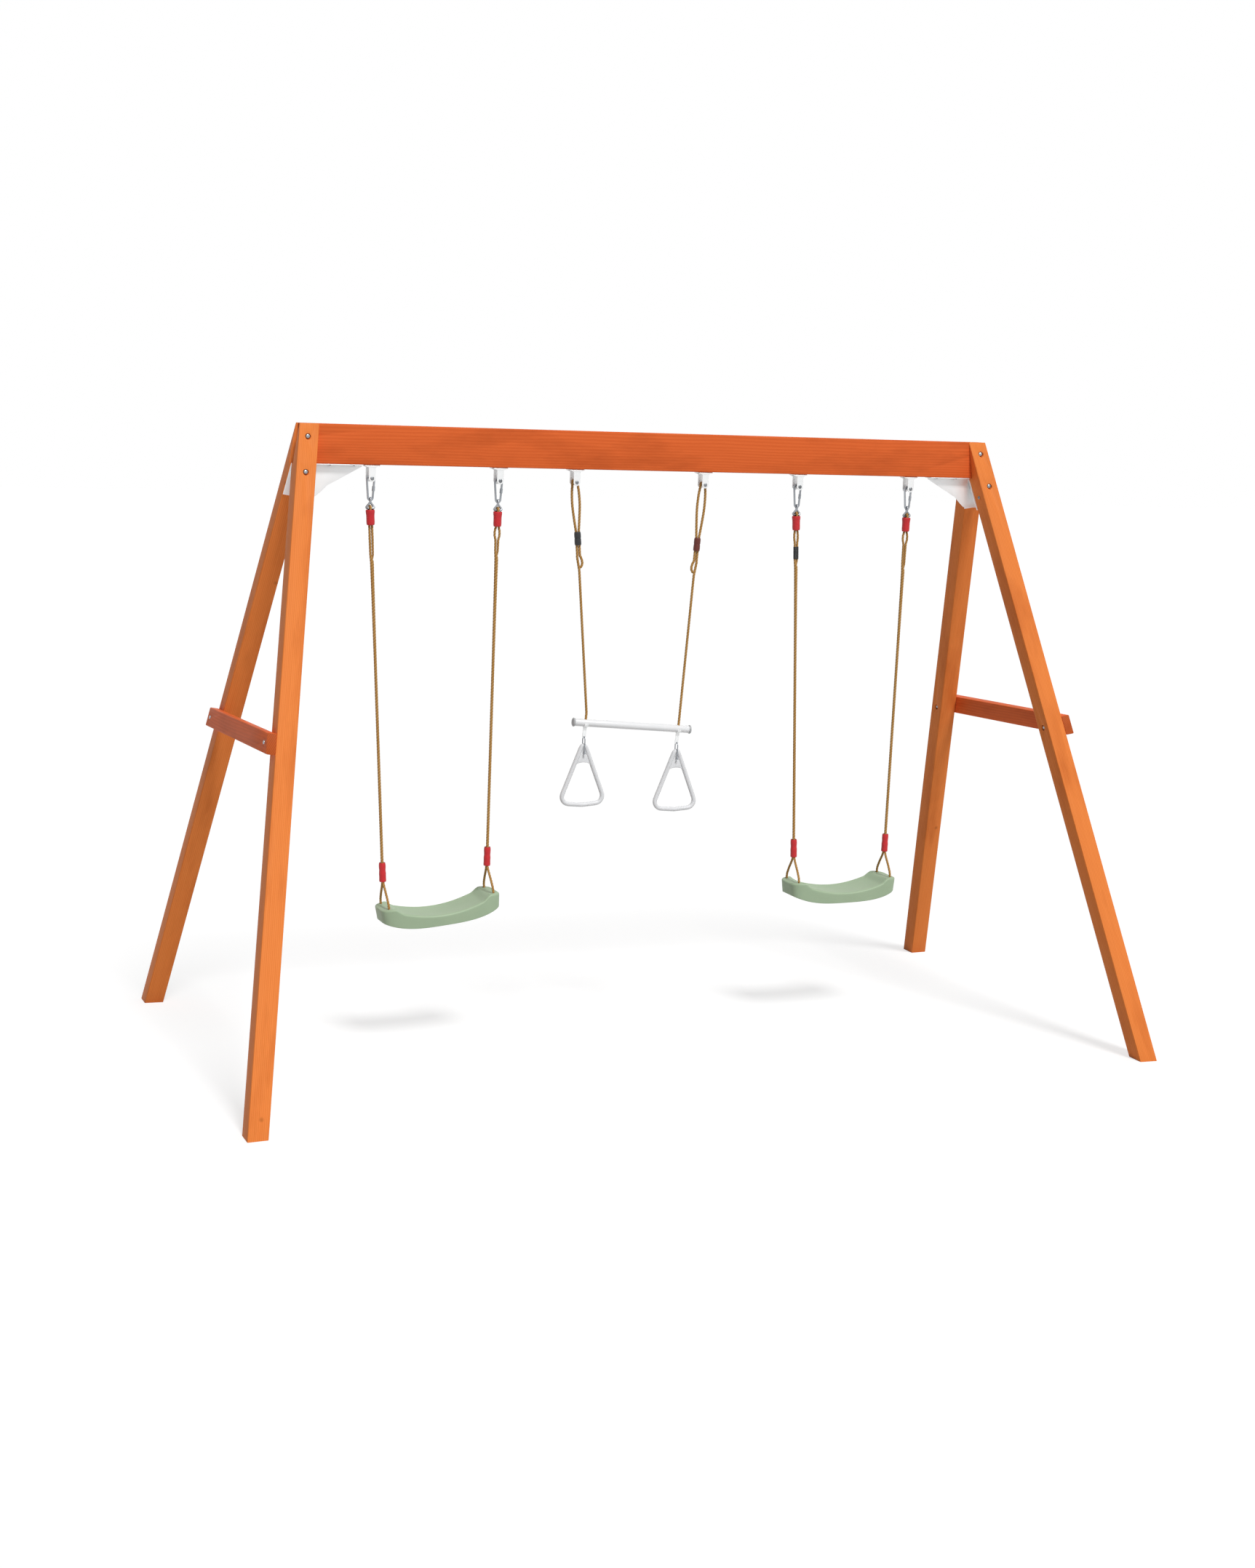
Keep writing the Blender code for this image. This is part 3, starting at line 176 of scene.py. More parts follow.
def ropeMaterial():
    # rope of three twisted strands, each of slanting yarns, with loose fluff, and painted shade darkening the grooves
    # between the strands
    made, tree = newMaterial("twistedTanRope")
    # v turns round the rope once, u is metres along it; yarns slant against the lay of the strands
    run = addNode(tree, "SeparateXYZ", links={0: addNode(tree, "UVMap", {"uv_map": "run"})})
    turns = 2 * pi / ropeLook["layLength"]
    waves = []
    for slant, count, kind in ((4.0 * turns, ropeLook["yarnsAround"], "SINE"),
                               (-ropeLook["strands"] * turns, ropeLook["strands"], "COSINE")):
        along = addNode(tree, "Math", {"operation": "MULTIPLY", 1: slant}, {0: run.outputs["X"]})
        around = addNode(tree, "Math", {"operation": "MULTIPLY_ADD", 1: 2 * pi * count},
                         {0: run.outputs["Y"], 2: along})
        waves.append(addNode(tree, "Math", {"operation": kind}, {0: around}))
    yarn = addNode(tree, "MapRange", {"From Min": -1.0, "From Max": 0.6}, {"Value": waves[0]})
    # painted shade: a mask that is strongest in the grooves between the strands
    valley = addNode(tree, "MapRange", {"interpolation_type": "SMOOTHSTEP", "From Min": -0.25, "From Max": -1.0,
                                        "To Max": 0.75}, {"Value": waves[1]})
    place = addNode(tree, "TexCoord").outputs["Object"]
    fluff = addNode(tree, "TexNoise", {"Scale": 700.0, "Detail": 3.0}, {"Vector": place})
    slow = addNode(tree, "TexNoise", {"Scale": 26.0, "Detail": 2.0}, {"Vector": place})
    tone = addNode(tree, "MapRange", {"From Min": 0.45, "From Max": 0.7, "To Max": 0.35}, {"Value": slow})
    base = mixed(tree, yarn, ropeLook["deep"], ropeLook["pale"])
    # painted shade: the grooves between the strands are darkened towards the valley colour
    base = mixed(tree, valley, base, ropeLook["valley"])
    base = mixed(tree, tone, base, ropeLook["deep"])
    relief = addNode(tree, "Math", {"operation": "MULTIPLY_ADD", 1: 0.5}, {0: fluff, 2: yarn})
    closeMaterial(tree, {"Roughness": 0.85, "Specular IOR Level": 0.25, "Sheen Weight": 0.25,
                         "Sheen Roughness": 0.5}, {"Base Color": base}, relief, 0.5, 0.0004)
    return made


metal = {"Metallic": 1.0}
looks = {
    "legTimber": timberMaterial("stainedSoftwoodLegs", "leg", 0.40),
    "beamTimber": timberMaterial("stainedSoftwoodBeam", "beam", 0.40),
    "endGrain": timberMaterial("stainedEndGrain", "end", 0.80),
    # powder coat: bright, a little orange peel, soft gloss
    "whiteSteel": speckledMaterial("whitePowderCoat", "FAFBFB", "EEF0F1", 0.0011, 0.44, 0.06, {"Metallic": 0.55}),
    # the bar's own coat is a little greyer and smoother
    "barCoat": speckledMaterial("paleBarPowderCoat", "F4F5F6", "E8EAEC", 0.0011, 0.34, 0.05),
    # zinc plating: bright blue-grey metal with a faint spangle
    "zinc": speckledMaterial("brightZincPlate", "A9ADB2", "7F8489", 0.0006, 0.30, 0.10, metal, 0.8),
    # darker passivated zinc on the hanger pins and screws
    "darkZinc": speckledMaterial("greyPassivatedZinc", "8E9194", "63666A", 0.0006, 0.38, 0.10, metal, 0.8),
    # soft PVC sleeve: saturated, waxy, slightly uneven from the mould
    "red_sleeve": speckledMaterial("redMouldedSleeve", "D7282F", "BA1B25", 0.0014, 0.42, 0.12),
    "black_sleeve": speckledMaterial("blackMouldedSleeve", "2A2B2D", "19191B", 0.0014, 0.46, 0.12),
    "brown_sleeve": speckledMaterial("redBrownMouldedSleeve", "6E2B20", "4E1D16", 0.0014, 0.46, 0.12),
    # blow-moulded polyethylene seat: matt, fine leather-like grit
    "seat": speckledMaterial("sageMouldedSeat", "A9BF9F", "9DB494", 0.0012, 0.50, 0.22),
    # glossy moulded ring and grey cap
    "ring": speckledMaterial("whiteMouldedRing", "E9EAEC", "DCDEE0", 0.0013, 0.34, 0.06),
    "greyCap": speckledMaterial("greyMouldedCap", "C9CBCC", "B4B6B8", 0.0012, 0.45, 0.12),
    "rope": ropeMaterial(),
}
print("materials made:", len(looks))


def unit(vectors):
    vectors = np.asarray(vectors, float)
    return vectors / np.linalg.norm(vectors, axis=-1, keepdims=True)


def newObject(name, data):
    obj = bpy.data.objects.new(name, data)
    bpy.context.scene.collection.objects.link(obj)
    return obj


def newMesh(name, points, faces):
    mesh = bpy.data.meshes.new(name)
    mesh.from_pydata(points, [], faces)
    return mesh


def pointsOf(mesh):
    flat = np.empty(len(mesh.vertices) * 3)
    mesh.vertices.foreach_get("co", flat)
    return flat.reshape(-1, 3)


def gridFaces(rows, columns, wrapRows=False):
    # quads between neighbouring rows; the columns always close round
    i, j = np.meshgrid(np.arange(rows if wrapRows else rows - 1), np.arange(columns), indexing="ij")
    k, l = (i + 1) % rows, (j + 1) % columns
    quads = np.stack([i * columns + j, i * columns + l, k * columns + l, k * columns + j], -1)
    return quads.reshape(-1, 4).tolist(), i, j


def cappedMesh(name, grid):
    # rows of a grid joined by quads, with the first and last row each closed by one face
    rows, columns = grid.shape[:2]
    ends = [list(range(columns)), list(range((rows - 1) * columns, rows * columns))]
    return newMesh(name, grid.reshape(-1, 3), gridFaces(rows, columns)[0] + ends)


def trimmed(mesh, planes):
    # each plane, a point and an outward direction, cuts off what lies beyond it
    bm = bmesh.new()
    bm.from_mesh(mesh)
    for point, outward in planes:
        whole = list(bm.verts) + list(bm.edges) + list(bm.faces)
        bmesh.ops.bisect_plane(bm, geom=whole, plane_co=Vector(point), plane_no=Vector(outward), clear_outer=True)
        bmesh.ops.holes_fill(bm, edges=bm.edges, sides=0)
    bmesh.ops.recalc_face_normals(bm, faces=bm.faces)
    bm.to_mesh(mesh)
    bm.free()
    return mesh


def smoothed(mesh, sharp):
    mesh.shade_smooth()
    mesh.set_sharp_from_angle(angle=np.radians(sharp))


def settled(obj, body, node):
    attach(obj, body)
    if node:
        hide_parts(node)
    return obj


def piece(name, meshes, body, look, node=None, sharp=35.0):
    # one piece of one or more closed meshes
    bm = bmesh.new()
    for mesh in meshes:
        bm.from_mesh(mesh)
    bmesh.ops.remove_doubles(bm, verts=bm.verts, dist=2e-6)
    bmesh.ops.dissolve_degenerate(bm, edges=bm.edges, dist=1e-6)
    bmesh.ops.recalc_face_normals(bm, faces=bm.faces)
    whole = meshes[0]
    whole.name = name
    bm.to_mesh(whole)
    bm.free()
    smoothed(whole, sharp)
    whole.materials.append(looks[look])
    return settled(newObject(name, whole), body, node)


def gridPiece(name, grid, body, look, node=None, wrapRows=False, along=None, sharp=35.0):
    # one closed surface over a rows x columns grid; rows that shrink to a point or a line close the ends
    rows, columns = grid.shape[:2]
    quads, i, j = gridFaces(rows, columns, wrapRows)
    mesh = newMesh(name, grid.reshape(-1, 3), quads)
    if along is not None:
        layer = mesh.uv_layers.new(name="run")
        u = np.stack([along[i], along[i], along[i + 1], along[i + 1]], -1)
        v = np.stack([j, j + 1, j + 1, j], -1) / columns
        layer.data.foreach_set("uv", np.stack([u, v], -1).astype(np.float32).ravel())
    return piece(name, [mesh], body, look, node, sharp)


def carried(path, rings, towards, wrap=False):
    # each ring of 2-D offsets stands square to the path at its own point; towards gives its first axis
    ahead = unit(np.roll(path, -1, 0) - np.roll(path, 1, 0) if wrap else np.gradient(path, axis=0))
    towards = np.broadcast_to(towards, path.shape)
    first = unit(towards - np.sum(towards * ahead, -1, keepdims=True) * ahead)
    second = np.cross(ahead, first)
    return path[:, None] + rings[..., :1] * first[:, None] + rings[..., 1:] * second[:, None]


def circle(count):
    angle = np.arange(count) * 2 * pi / count
    return np.stack([np.cos(angle), np.sin(angle)], -1)


def arcOf(centre, radius, start, end, count):
    angle = np.linspace(start, end, count)
    return np.stack([centre[0] + radius * np.cos(angle), centre[1] + radius * np.sin(angle)], -1)


def roundedOutline(width, height, radius, count=5):
    # four quarter arcs, one at each corner
    corners = ((1, 1, 0.0), (-1, 1, 0.5), (-1, -1, 1.0), (1, -1, 1.5))
    return np.vstack([arcOf((x * (width / 2 - radius), y * (height / 2 - radius)), radius,
                            pi * start, pi * (start + 0.5), count) for x, y, start in corners])


def runLength(path):
    return np.append(0.0, np.cumsum(np.linalg.norm(np.diff(path, axis=0), axis=1)))


def even(points, step, soften=0, wrap=False):
    # points of a polyline at even steps, each then averaged with its neighbours to round the corners
    points = np.asarray(points, float)
    if wrap:
        points = np.vstack([points, points[:1]])
    reach = runLength(points)
    places = np.linspace(0.0, reach[-1], max(int(round(reach[-1] / step)), 4) + 1)
    made = np.stack([np.interp(places, reach, axis) for axis in points.T], -1)
    if wrap:
        made = made[:-1]
    for _ in range(soften):
        averaged = (np.roll(made, 1, 0) + 2 * made + np.roll(made, -1, 0)) / 4
        if not wrap:
            averaged[[0, -1]] = made[[0, -1]]
        made = averaged
    return made


def throughPoints(points, count):
    # a cubic between each pair of points that also leans on their neighbours
    points = np.asarray(points, float)
    p = np.vstack([2 * points[:1] - points[1:2], points, 2 * points[-1:] - points[-2:-1]])[:, None]
    t = (np.arange(count) / count)[None, :, None]
    a, b, c, d = p[:-3], p[1:-2], p[2:-1], p[3:]
    made = 0.5 * (2 * b + (c - a) * t + (2 * a - 5 * b + 4 * c - d) * t ** 2 + (3 * b - a - 3 * c + d) * t ** 3)
    return np.vstack([made.reshape(-1, points.shape[1]), points[-1:]])


def roundWire(name, path, radius, body, look, towards, node, wrap=False, sides=20):
    # a circle carried along the path; an open wire ends in small rounded tips
    radii = np.full(len(path), radius)
    if not wrap:
        ahead = unit(path[[0, -1]] - path[[1, -2]])
        tip = np.array([[0.0], [0.62], [0.9]])
        reach = 0.12 * radius * (1 - tip)
        path = np.vstack([path[:1] + ahead[0] * reach, path, path[-1:] + ahead[1] * reach[::-1]])
        radii = np.concatenate([radius * tip[:, 0], radii, radius * tip[::-1, 0]])
    rings = radii[:, None, None] * circle(sides)[None]
    return gridPiece(name, carried(path, rings, towards, wrap), body, look, node, wrap, sharp=50.0)


def turnedGrid(profile, place, direction, count):
    # a profile of radius, height and hexagon share, turned about an axis through place
    profile = np.array([(*row, 0.0)[:3] for row in profile], float)
    direction = unit(direction)
    first = unit(np.cross(zAxis if abs(direction[2]) < 0.9 else xAxis, direction))
    second = np.cross(direction, first)
    angle = np.arange(count) * 2 * pi / count
    hexagon = np.cos(pi / 6) / np.cos((angle + pi / 6) % (pi / 3) - pi / 6)
    share = profile[:, 2:3]
    radius = profile[:, :1] * (1 - share + share * hexagon)
    ring = radius[..., None] * (np.cos(angle)[:, None] * first + np.sin(angle)[:, None] * second)
    return np.asarray(place) + profile[:, 1, None, None] * direction + ring


def turned(name, profile, place, direction, body, look, node=None, count=40):
    return gridPiece(name, turnedGrid(profile, place, direction, count), body, look, node)


def hollowPiece(name, outer, inner, place, direction, body, look, node=None):
    # an outer profile run down and an inner one back up, turned about the axis: both close on each other
    grid = turnedGrid(outer + inner[::-1], place, direction, 48)
    return gridPiece(name, grid, body, look, node, wrapRows=True, sharp=40.0)


def cutterOf(grid):
    return newObject("cutter", trimmed(cappedMesh("cutter", grid), []))


def rodCutter(start, end, radius, count=40):
    start, end = np.asarray(start, float), np.asarray(end, float)
    profile = [(radius, 0.0), (radius, np.linalg.norm(end - start))]
    return cutterOf(turnedGrid(profile, start, end - start, count))


def boxCutter(low, high):
    square = np.array([(low[0], low[1]), (high[0], low[1]), (high[0], high[1]), (low[0], high[1])])
    return cutterOf(np.stack([np.column_stack([square, np.full(4, z)]) for z in (low[2], high[2])]))


def applied(obj):
    # the piece with its modifiers kept as a plain mesh
    bpy.context.view_layer.update()
    graph = bpy.context.evaluated_depsgraph_get()
    made = bpy.data.meshes.new_from_object(obj.evaluated_get(graph))
    obj.modifiers.clear()
    obj.data = made


def carve(obj, cutters):
    # takes each cutter out of the piece
    for cutter in cutters:
        step = obj.modifiers.new("cut", "BOOLEAN")
        step.operation = "DIFFERENCE"
        step.solver = "EXACT"
        step.object = cutter
    applied(obj)
    for cutter in cutters:
        bpy.data.objects.remove(cutter, do_unlink=True)


# solved from the frame's edges in the photograph; the columns of turn are the camera's own axes
cameraLook = {
    "place": (-3.1032, -7.3377, 2.2210), "lens": 53.0,
    "turn": ((0.92604, 0.03048, -0.37619), (-0.37581, 0.16652, -0.91161), (0.03486, 0.98557, 0.16566)),
}
eye = newObject("photoCamera", bpy.data.cameras.new("photoCamera"))
eye.data.lens = cameraLook["lens"]
eye.data.sensor_width = 36.0
eye.matrix_world = Matrix.Translation(cameraLook["place"]) @ Matrix(cameraLook["turn"]).to_4x4()
bpy.context.scene.camera = eye
print("camera placed")

seatLook = {
    # for each swing: X and Z of the seat's middle, and how far its right end is raised
    "hang": ((-0.760, 0.5165, np.radians(6.0)), (0.770, 0.5175, np.radians(0.8))),
    "halfLength": 0.210, "halfDepth": 0.0775,
    "sag": 0.034, "earRise": 0.009, "stepLength": 0.030, "earLength": 0.042, "dish": 0.004,
    "skirtMiddle": 0.038, "skirtEnd": 0.050, "draft": 0.0035, "foot": 0.0015,
    "wall": 0.0045, "edgeRadius": 0.006, "bead": 0.0016, "cornerPower": 5.0,
    "holeX": 0.185, "holeY": 0.050, "holeRadius": 0.0052, "cadWall": 0.005,
}


def seatTop(x):
    # a bowl between the raised ends, with a soft step up to each
    reach = np.abs(x)
    inner = seatLook["halfLength"] - seatLook["earLength"]
    bowl = -seatLook["sag"] * (1.0 - np.minimum(reach / inner, 1.0) ** 2)
    step = np.clip((reach - inner + seatLook["stepLength"]) / seatLook["stepLength"], 0.0, 1.0)
    return bowl - seatLook["earRise"] * (1.0 - step * step * (3.0 - 2.0 * step))


def tilted(points, centre, angle):
    # from a piece's own axes to the world, its +X end raised by the angle
    axes = np.array([(np.cos(angle), 0.0, np.sin(angle)), yAxis, (-np.sin(angle), 0.0, np.cos(angle))])
    return np.array(centre) + np.asarray(points, float) @ axes


def onSeat(number, points):
    x, z, tilt = seatLook["hang"][number]
    return tilted(points, (x, 0.0, z), tilt)


swingRope = {
    "radius": 0.00525, "strand": 0.0042, "offset": 0.0045, "ringWire": 0.0035,
    # for each rope: where its tail ends, how far its two strands part under the sleeve, and a dark whipping
    "tails": {(0, -1): (0.150, 1.0, False), (0, 1): (0.135, 1.9, False),
              (1, -1): (0.160, 1.5, True), (1, 1): (0.170, 1.9, False)},
    "joinBelow": 0.044, "swell": 1.28, "valley": 0.16,
    "upperSleeve": 0.050, "lowerSleeve": 0.065, "aboveSeat": 0.085, "clearance": 0.001,
    "sides": 18, "step": 0.0016, "tip": 0.004,
}
trapezeLook = {
    "centre": (-0.0655, 0.0, 1.0925), "droop": np.radians(4.58),
    "length": 0.430, "barRadius": 0.013, "barEdge": 0.0012,
    "ropeX": 0.175, "ropeEntry": 0.035, "ropeRadius": 0.00455, "pinRadius": 0.004, "bulge": 0.0135,
    "sleeveLength": 0.045, "sleeveDrop": (0.167, 0.183), "tailDrop": (0.285, 0.300),
    "capRadius": 0.0155, "capLength": 0.007,
}


def onBar(points):
    return tilted(points, trapezeLook["centre"], -trapezeLook["droop"])


def ropePiece(name, node, controls, radii, body, diameter, towards):
    # the strands turn round the centreline once in each lay length, with a sharp valley between them
    path = even(controls, swingRope["step"], 3)
    reach, marks = runLength(path), runLength(controls)
    radius = np.interp(np.linspace(0.0, 1.0, len(path)), marks / marks[-1], radii)
    fromEnd = np.minimum(reach, reach[-1] - reach)
    radius = radius * np.sqrt(np.clip(fromEnd / swingRope["tip"], 0.0, 1.0))
    angle = np.arange(swingRope["sides"])[None, :] * 2 * pi / swingRope["sides"]
    lobe = angle - 2 * pi * reach[:, None] / ropeLook["layLength"]
    crest = np.abs(np.cos(ropeLook["strands"] / 2 * lobe))
    radial = radius[:, None] * (1.0 - swingRope["valley"] * (1.0 - crest))
    rings = radial[..., None] * np.stack([np.cos(angle), np.sin(angle)], -1)
    rope = gridPiece(name, carried(path, rings, towards), body, "rope", node, along=reach, sharp=180.0)
    print(name, "is", round(float(reach[-1]), 3), "m long")


def mirroredAbout(start, way, points):
    # the points given half a turn about the line from start along way
    return 2 * (start + way * ((points - start) @ way)[:, None]) - points


def swingRopeRoute(number, end):
    # eye round the ring, doubled back, a single run, then one leg down each side of the seat and under it
    spec, gap, strand = swingRope, layout["gap"], swingRope["strand"]
    base = np.array([layout["swingHangers"][number][(end + 1) // 2], 0.0, layout["ringBaseZ"]])
    split = onSeat(number, (end * seatLook["holeX"], 0.0, spec["aboveSeat"]))
    way = unit(split - base)
    wide = np.array([-way[2], 0.0, way[0]])
    sleeveTop = spec["ringWire"] + 2 * gap
    bend, sleeveEnd = sleeveTop + strand, sleeveTop + spec["upperSleeve"]
    join = sleeveEnd + spec["joinBelow"]
    doubled, parted, _ = spec["tails"][number, end]
    # each point of the tail: how far down the run, and how far aside
    tail = np.array([(doubled + 0.020, 0.40), (doubled + 0.010, 0.75), (doubled, 0.95), (join + 0.012, 1.0),
                     (join, 1.05), (sleeveEnd + 0.030, parted), (sleeveEnd + 0.015, parted), (sleeveEnd, 1.0)])
    tail = base + way * tail[:, :1] + wide * tail[:, 1:] * spec["offset"]
    share = (np.arange(1, 11) / 10)[:, None]
    far = spec["offset"] + (bend - spec["offset"]) * share
    quarter = share * pi / 2
    twist = base + way * sleeveEnd * (1 - share) + wide * far * np.cos(quarter) + yAxis * far * np.sin(quarter)
    tail = np.vstack([tail, twist])
    angle = (np.arange(1, 12) * pi / 12)[:, None]
    over = base - way * bend * np.sin(angle) + yAxis * bend * np.cos(angle)
    other = mirroredAbout(base, way, tail)[:1:-1]
    run = np.linalg.norm(split - base)
    start = run - spec["lowerSleeve"]
    single = np.array([doubled + 0.026, 0.2 * run, 0.3 * run, 0.4 * run, 0.55 * run, 0.7 * run, start - 0.009])
    inside = strand + gap
    # shares of the sleeve's length, and of the way from its middle to the leg's own line
    inSleeve = np.array([(0.15, 0.15), (0.4, 1.0), (0.7, 1.0), (1.0, 1.0)])
    leg = base + way * (start + inSleeve[:, :1] * spec["lowerSleeve"]) - yAxis * inside * inSleeve[:, 1:]
    under = seatTop(seatLook["holeX"]) - seatLook["dish"] - seatLook["cadWall"] - strand - spec["clearance"]
    holeY, high = seatLook["holeY"], spec["aboveSeat"]
    front = np.array([(inside + 0.18 * holeY, 0.8 * high), (0.70 * holeY, 0.45 * high), (0.95 * holeY, 0.20 * high),
                      (holeY, 0.006), (holeY, -0.005), (holeY - 0.0005, under + 0.0034),
                      (holeY - 0.0029, under + 0.001), (holeY - 0.008, under)])
    loop = np.vstack([front * (-1, 1), front[::-1]])
    bridle = onSeat(number, np.column_stack([np.full(len(loop), end * seatLook["holeX"]), loop]))
    back = base + way * (start + np.array([[1.0], [0.7], [0.45]]) * spec["lowerSleeve"]) + yAxis * inside
    route = np.vstack([tail, over, other, base + way * single[:, None], leg, bridle, back])
    swell = 1 + (spec["swell"] - 1) * np.array([1.0, 0.6, 0.25, 0, 0, 0, 0, 0])
    doubledRadii = np.full(len(tail) - 3 + len(over) + len(other), strand)
    radii = np.concatenate([strand * np.array([0.35, 0.62, 0.88]), doubledRadii, spec["radius"] * swell,
                            np.full(len(bridle) + 6, strand)])
    return route, radii, base, way, run, bend, inside


def trapezeRopeRoute(number, end):
    # a long eye over the hanger pin, doubled through its sleeve, then single down into the bar
    spec = trapezeLook
    pin = np.array([layout["trapezeHangers"][number], 0.0, layout["pinZ"]])
    foot = onBar((end * spec["ropeX"], 0.0, spec["ropeEntry"]))
    way = unit(foot - pin)
    wide = np.array([-way[2], 0.0, way[0]]) * -end
    beside = spec["ropeRadius"] + layout["gap"]
    bend, bulge = spec["pinRadius"] + beside, spec["bulge"]
    top, tailEnd = spec["sleeveDrop"][number], spec["tailDrop"][number]
    sleeveEnd = top + spec["sleeveLength"]
    # down the run and aside: the tail's own small loop, then past the sleeve, then the eye
    tuck = [(tailEnd + 0.006, 0.4 * beside), (tailEnd + 0.001, 1.5 * beside), (tailEnd - 0.008, 2.4 * beside),
            (tailEnd - 0.020, 2.3 * beside), (tailEnd - 0.034, 1.3 * beside),
            (0.5 * (tailEnd + sleeveEnd), beside), (sleeveEnd, beside)]
    half = [(top, beside), (0.75 * top, 0.7 * bulge), (0.45 * top, bulge), (0.2 * top, 0.93 * bulge),
            (0.06 * top, 1.1 * bend)]
    marks = np.vstack([throughPoints(tuck, 5), throughPoints(half, 6)])
    tail = pin + way * marks[:, :1] + wide * marks[:, 1:]
    angle = (np.arange(17) * pi / 16)[:, None]
    over = pin + wide * bend * np.cos(angle) - way * bend * np.sin(angle)
    # the first rows are the tail's free loop, which only one of the two strands has
    free = 21
    main = mirroredAbout(pin, way, tail[free:])[::-1]
    run = np.linalg.norm(foot - pin)
    single = pin + way * np.array([[tailEnd + 0.014], [tailEnd + 0.03], [0.55 * run], [0.7 * run], [0.85 * run]])
    entry = onBar([(end * spec["ropeX"], 0.0, share * spec["ropeEntry"]) for share in (1.0, 0.63, 0.0)])
    route = np.vstack([tail, over, main, single, entry])
    return route, np.full(len(route), spec["ropeRadius"]), pin, way, top, beside


whippingLook = {"twine": 0.0012, "start": 0.112, "end": 0.156, "overWide": 0.001, "overDeep": 0.0014}


def makeWhipping(swing, tag):
    # close turns of waxed twine round both strands, just below where they join
    _, _, base, way, _, _, _ = routes[swing, tag]
    spec, strand = whippingLook, swingRope["strand"]
    downs = np.arange(spec["start"], spec["end"], spec["twine"] / 4)
    grow = 1.0 - 0.06 * np.cos(2 * pi * np.arange(len(downs)) / 4)
    grow[[0, -1]] = 0.0
    size = (swingRope["offset"] + strand + spec["overWide"], strand + spec["overDeep"])
    rings = grow[:, None, None] * (circle(32) * size)[None]
    grid = carried(base + way * downs[:, None], rings, np.array([-way[2], 0.0, way[0]]))
    gridPiece(swing + "_twine_whipping_" + tag, grid, swing + "_ropes_and_seat", "black_sleeve",
              sharp=180.0)


routes = {}
for number, swing in enumerate(swings):
    for end, tag in sideNames.items():
        routes[swing, tag] = swingRopeRoute(number, end)
        ropePiece(swing + "_twisted_rope_" + tag, swing + "_rope_" + tag, *routes[swing, tag][:2],
                  swing + "_ropes_and_seat", 2 * swingRope["radius"], xAxis)
        if swingRope["tails"][number, end][2]:
            makeWhipping(swing, tag)
for number, (end, tag) in enumerate(sideNames.items()):
    routes["trapeze", tag] = trapezeRopeRoute(number, end)
    ropePiece("trapeze_twisted_rope_" + tag, "trapeze_rope_" + tag, *routes["trapeze", tag][:2], "trapeze",
              2 * trapezeLook["ropeRadius"], yAxis)
print("ropes laid")

timberShape = {
    "width": 0.0651, "depth": 0.0667, "round": 0.003, "softEdge": 0.0007,
    # a leg is cut from a longer one, whose middle lies this share of its length below the apex
    "legLength": 2.75, "legShare": 0.42,
    "beamLength": 2.510, "beamHeight": 0.128, "beamDepth": 0.045,
    "braceDown": 1.008, "braceHeight": 0.065, "braceThickness": 0.030, "braceLength": 1.710,
    "braceTilt": np.tan(np.radians(2.3)),      # the braces fall a little towards the rear
}
boltLook = {
    "shank": 0.004, "hole": 0.0046, "headRadius": 0.00825, "headHeight": 0.005,
    "nutRadius": 0.0075, "nutHeight": 0.009, "counterbore": 0.010, "seatDepth": 0.006,
    "places": ((1.238, 2.058), (1.255, 1.946)),
    "braceHeadRadius": 0.0065, "braceHeadHeight": 0.0035, "recess": 0.010,
    "past": 0.05, "far": 0.3,      # how far the drills run past a joint, and out through a leg
    "sideScrew": (1.228, 0.0625, 1.904), "sideScrewSize": (0.006, 0.003), "screwSize": (0.0042, 0.0022),
}


def legAxes(side, face):
    # out of the frame's side, out of the leg's own face, and down along the leg
    splay, lean = layout["sideSplay"], layout["legLean"]
    down = np.array([side * np.sin(splay), 0.0, -np.cos(splay)])
    outward = np.array([side * np.cos(splay), 0.0, np.sin(splay)])
    fore = face * yAxis
    return outward, fore * np.cos(lean) - down * np.sin(lean), down * np.cos(lean) + fore * np.sin(lean), down


def apexOf(side, face=0):
    # the top of the frame's side, or of one leg's outer edge there
    return np.array([side * layout["halfSpan"], face * layout["apexHalfDepth"], layout["height"]])


def slopeAt(x, z):
    splay = layout["sideSplay"]
    return (x - layout["halfSpan"]) * np.sin(splay) + (layout["height"] - z) * np.cos(splay)


def legFaceY(x, z):
    return layout["apexHalfDepth"] + slopeAt(x, z) * np.tan(layout["legLean"])


def braceBoltLine(side, face):
    # where the brace's middle line crosses the leg's, on the outer side, and the way out
    outward, _, _, down = legAxes(side, face)
    lean, tilt = layout["legLean"], timberShape["braceTilt"]
    level = layout["apexHalfDepth"] - timberShape["depth"] / (2 * np.cos(lean))
    slope = (timberShape["braceDown"] + tilt * face * level) / (1 - tilt * face * np.tan(lean))
    return apexOf(side) + down * slope + yAxis * face * (level + slope * np.tan(lean)), outward


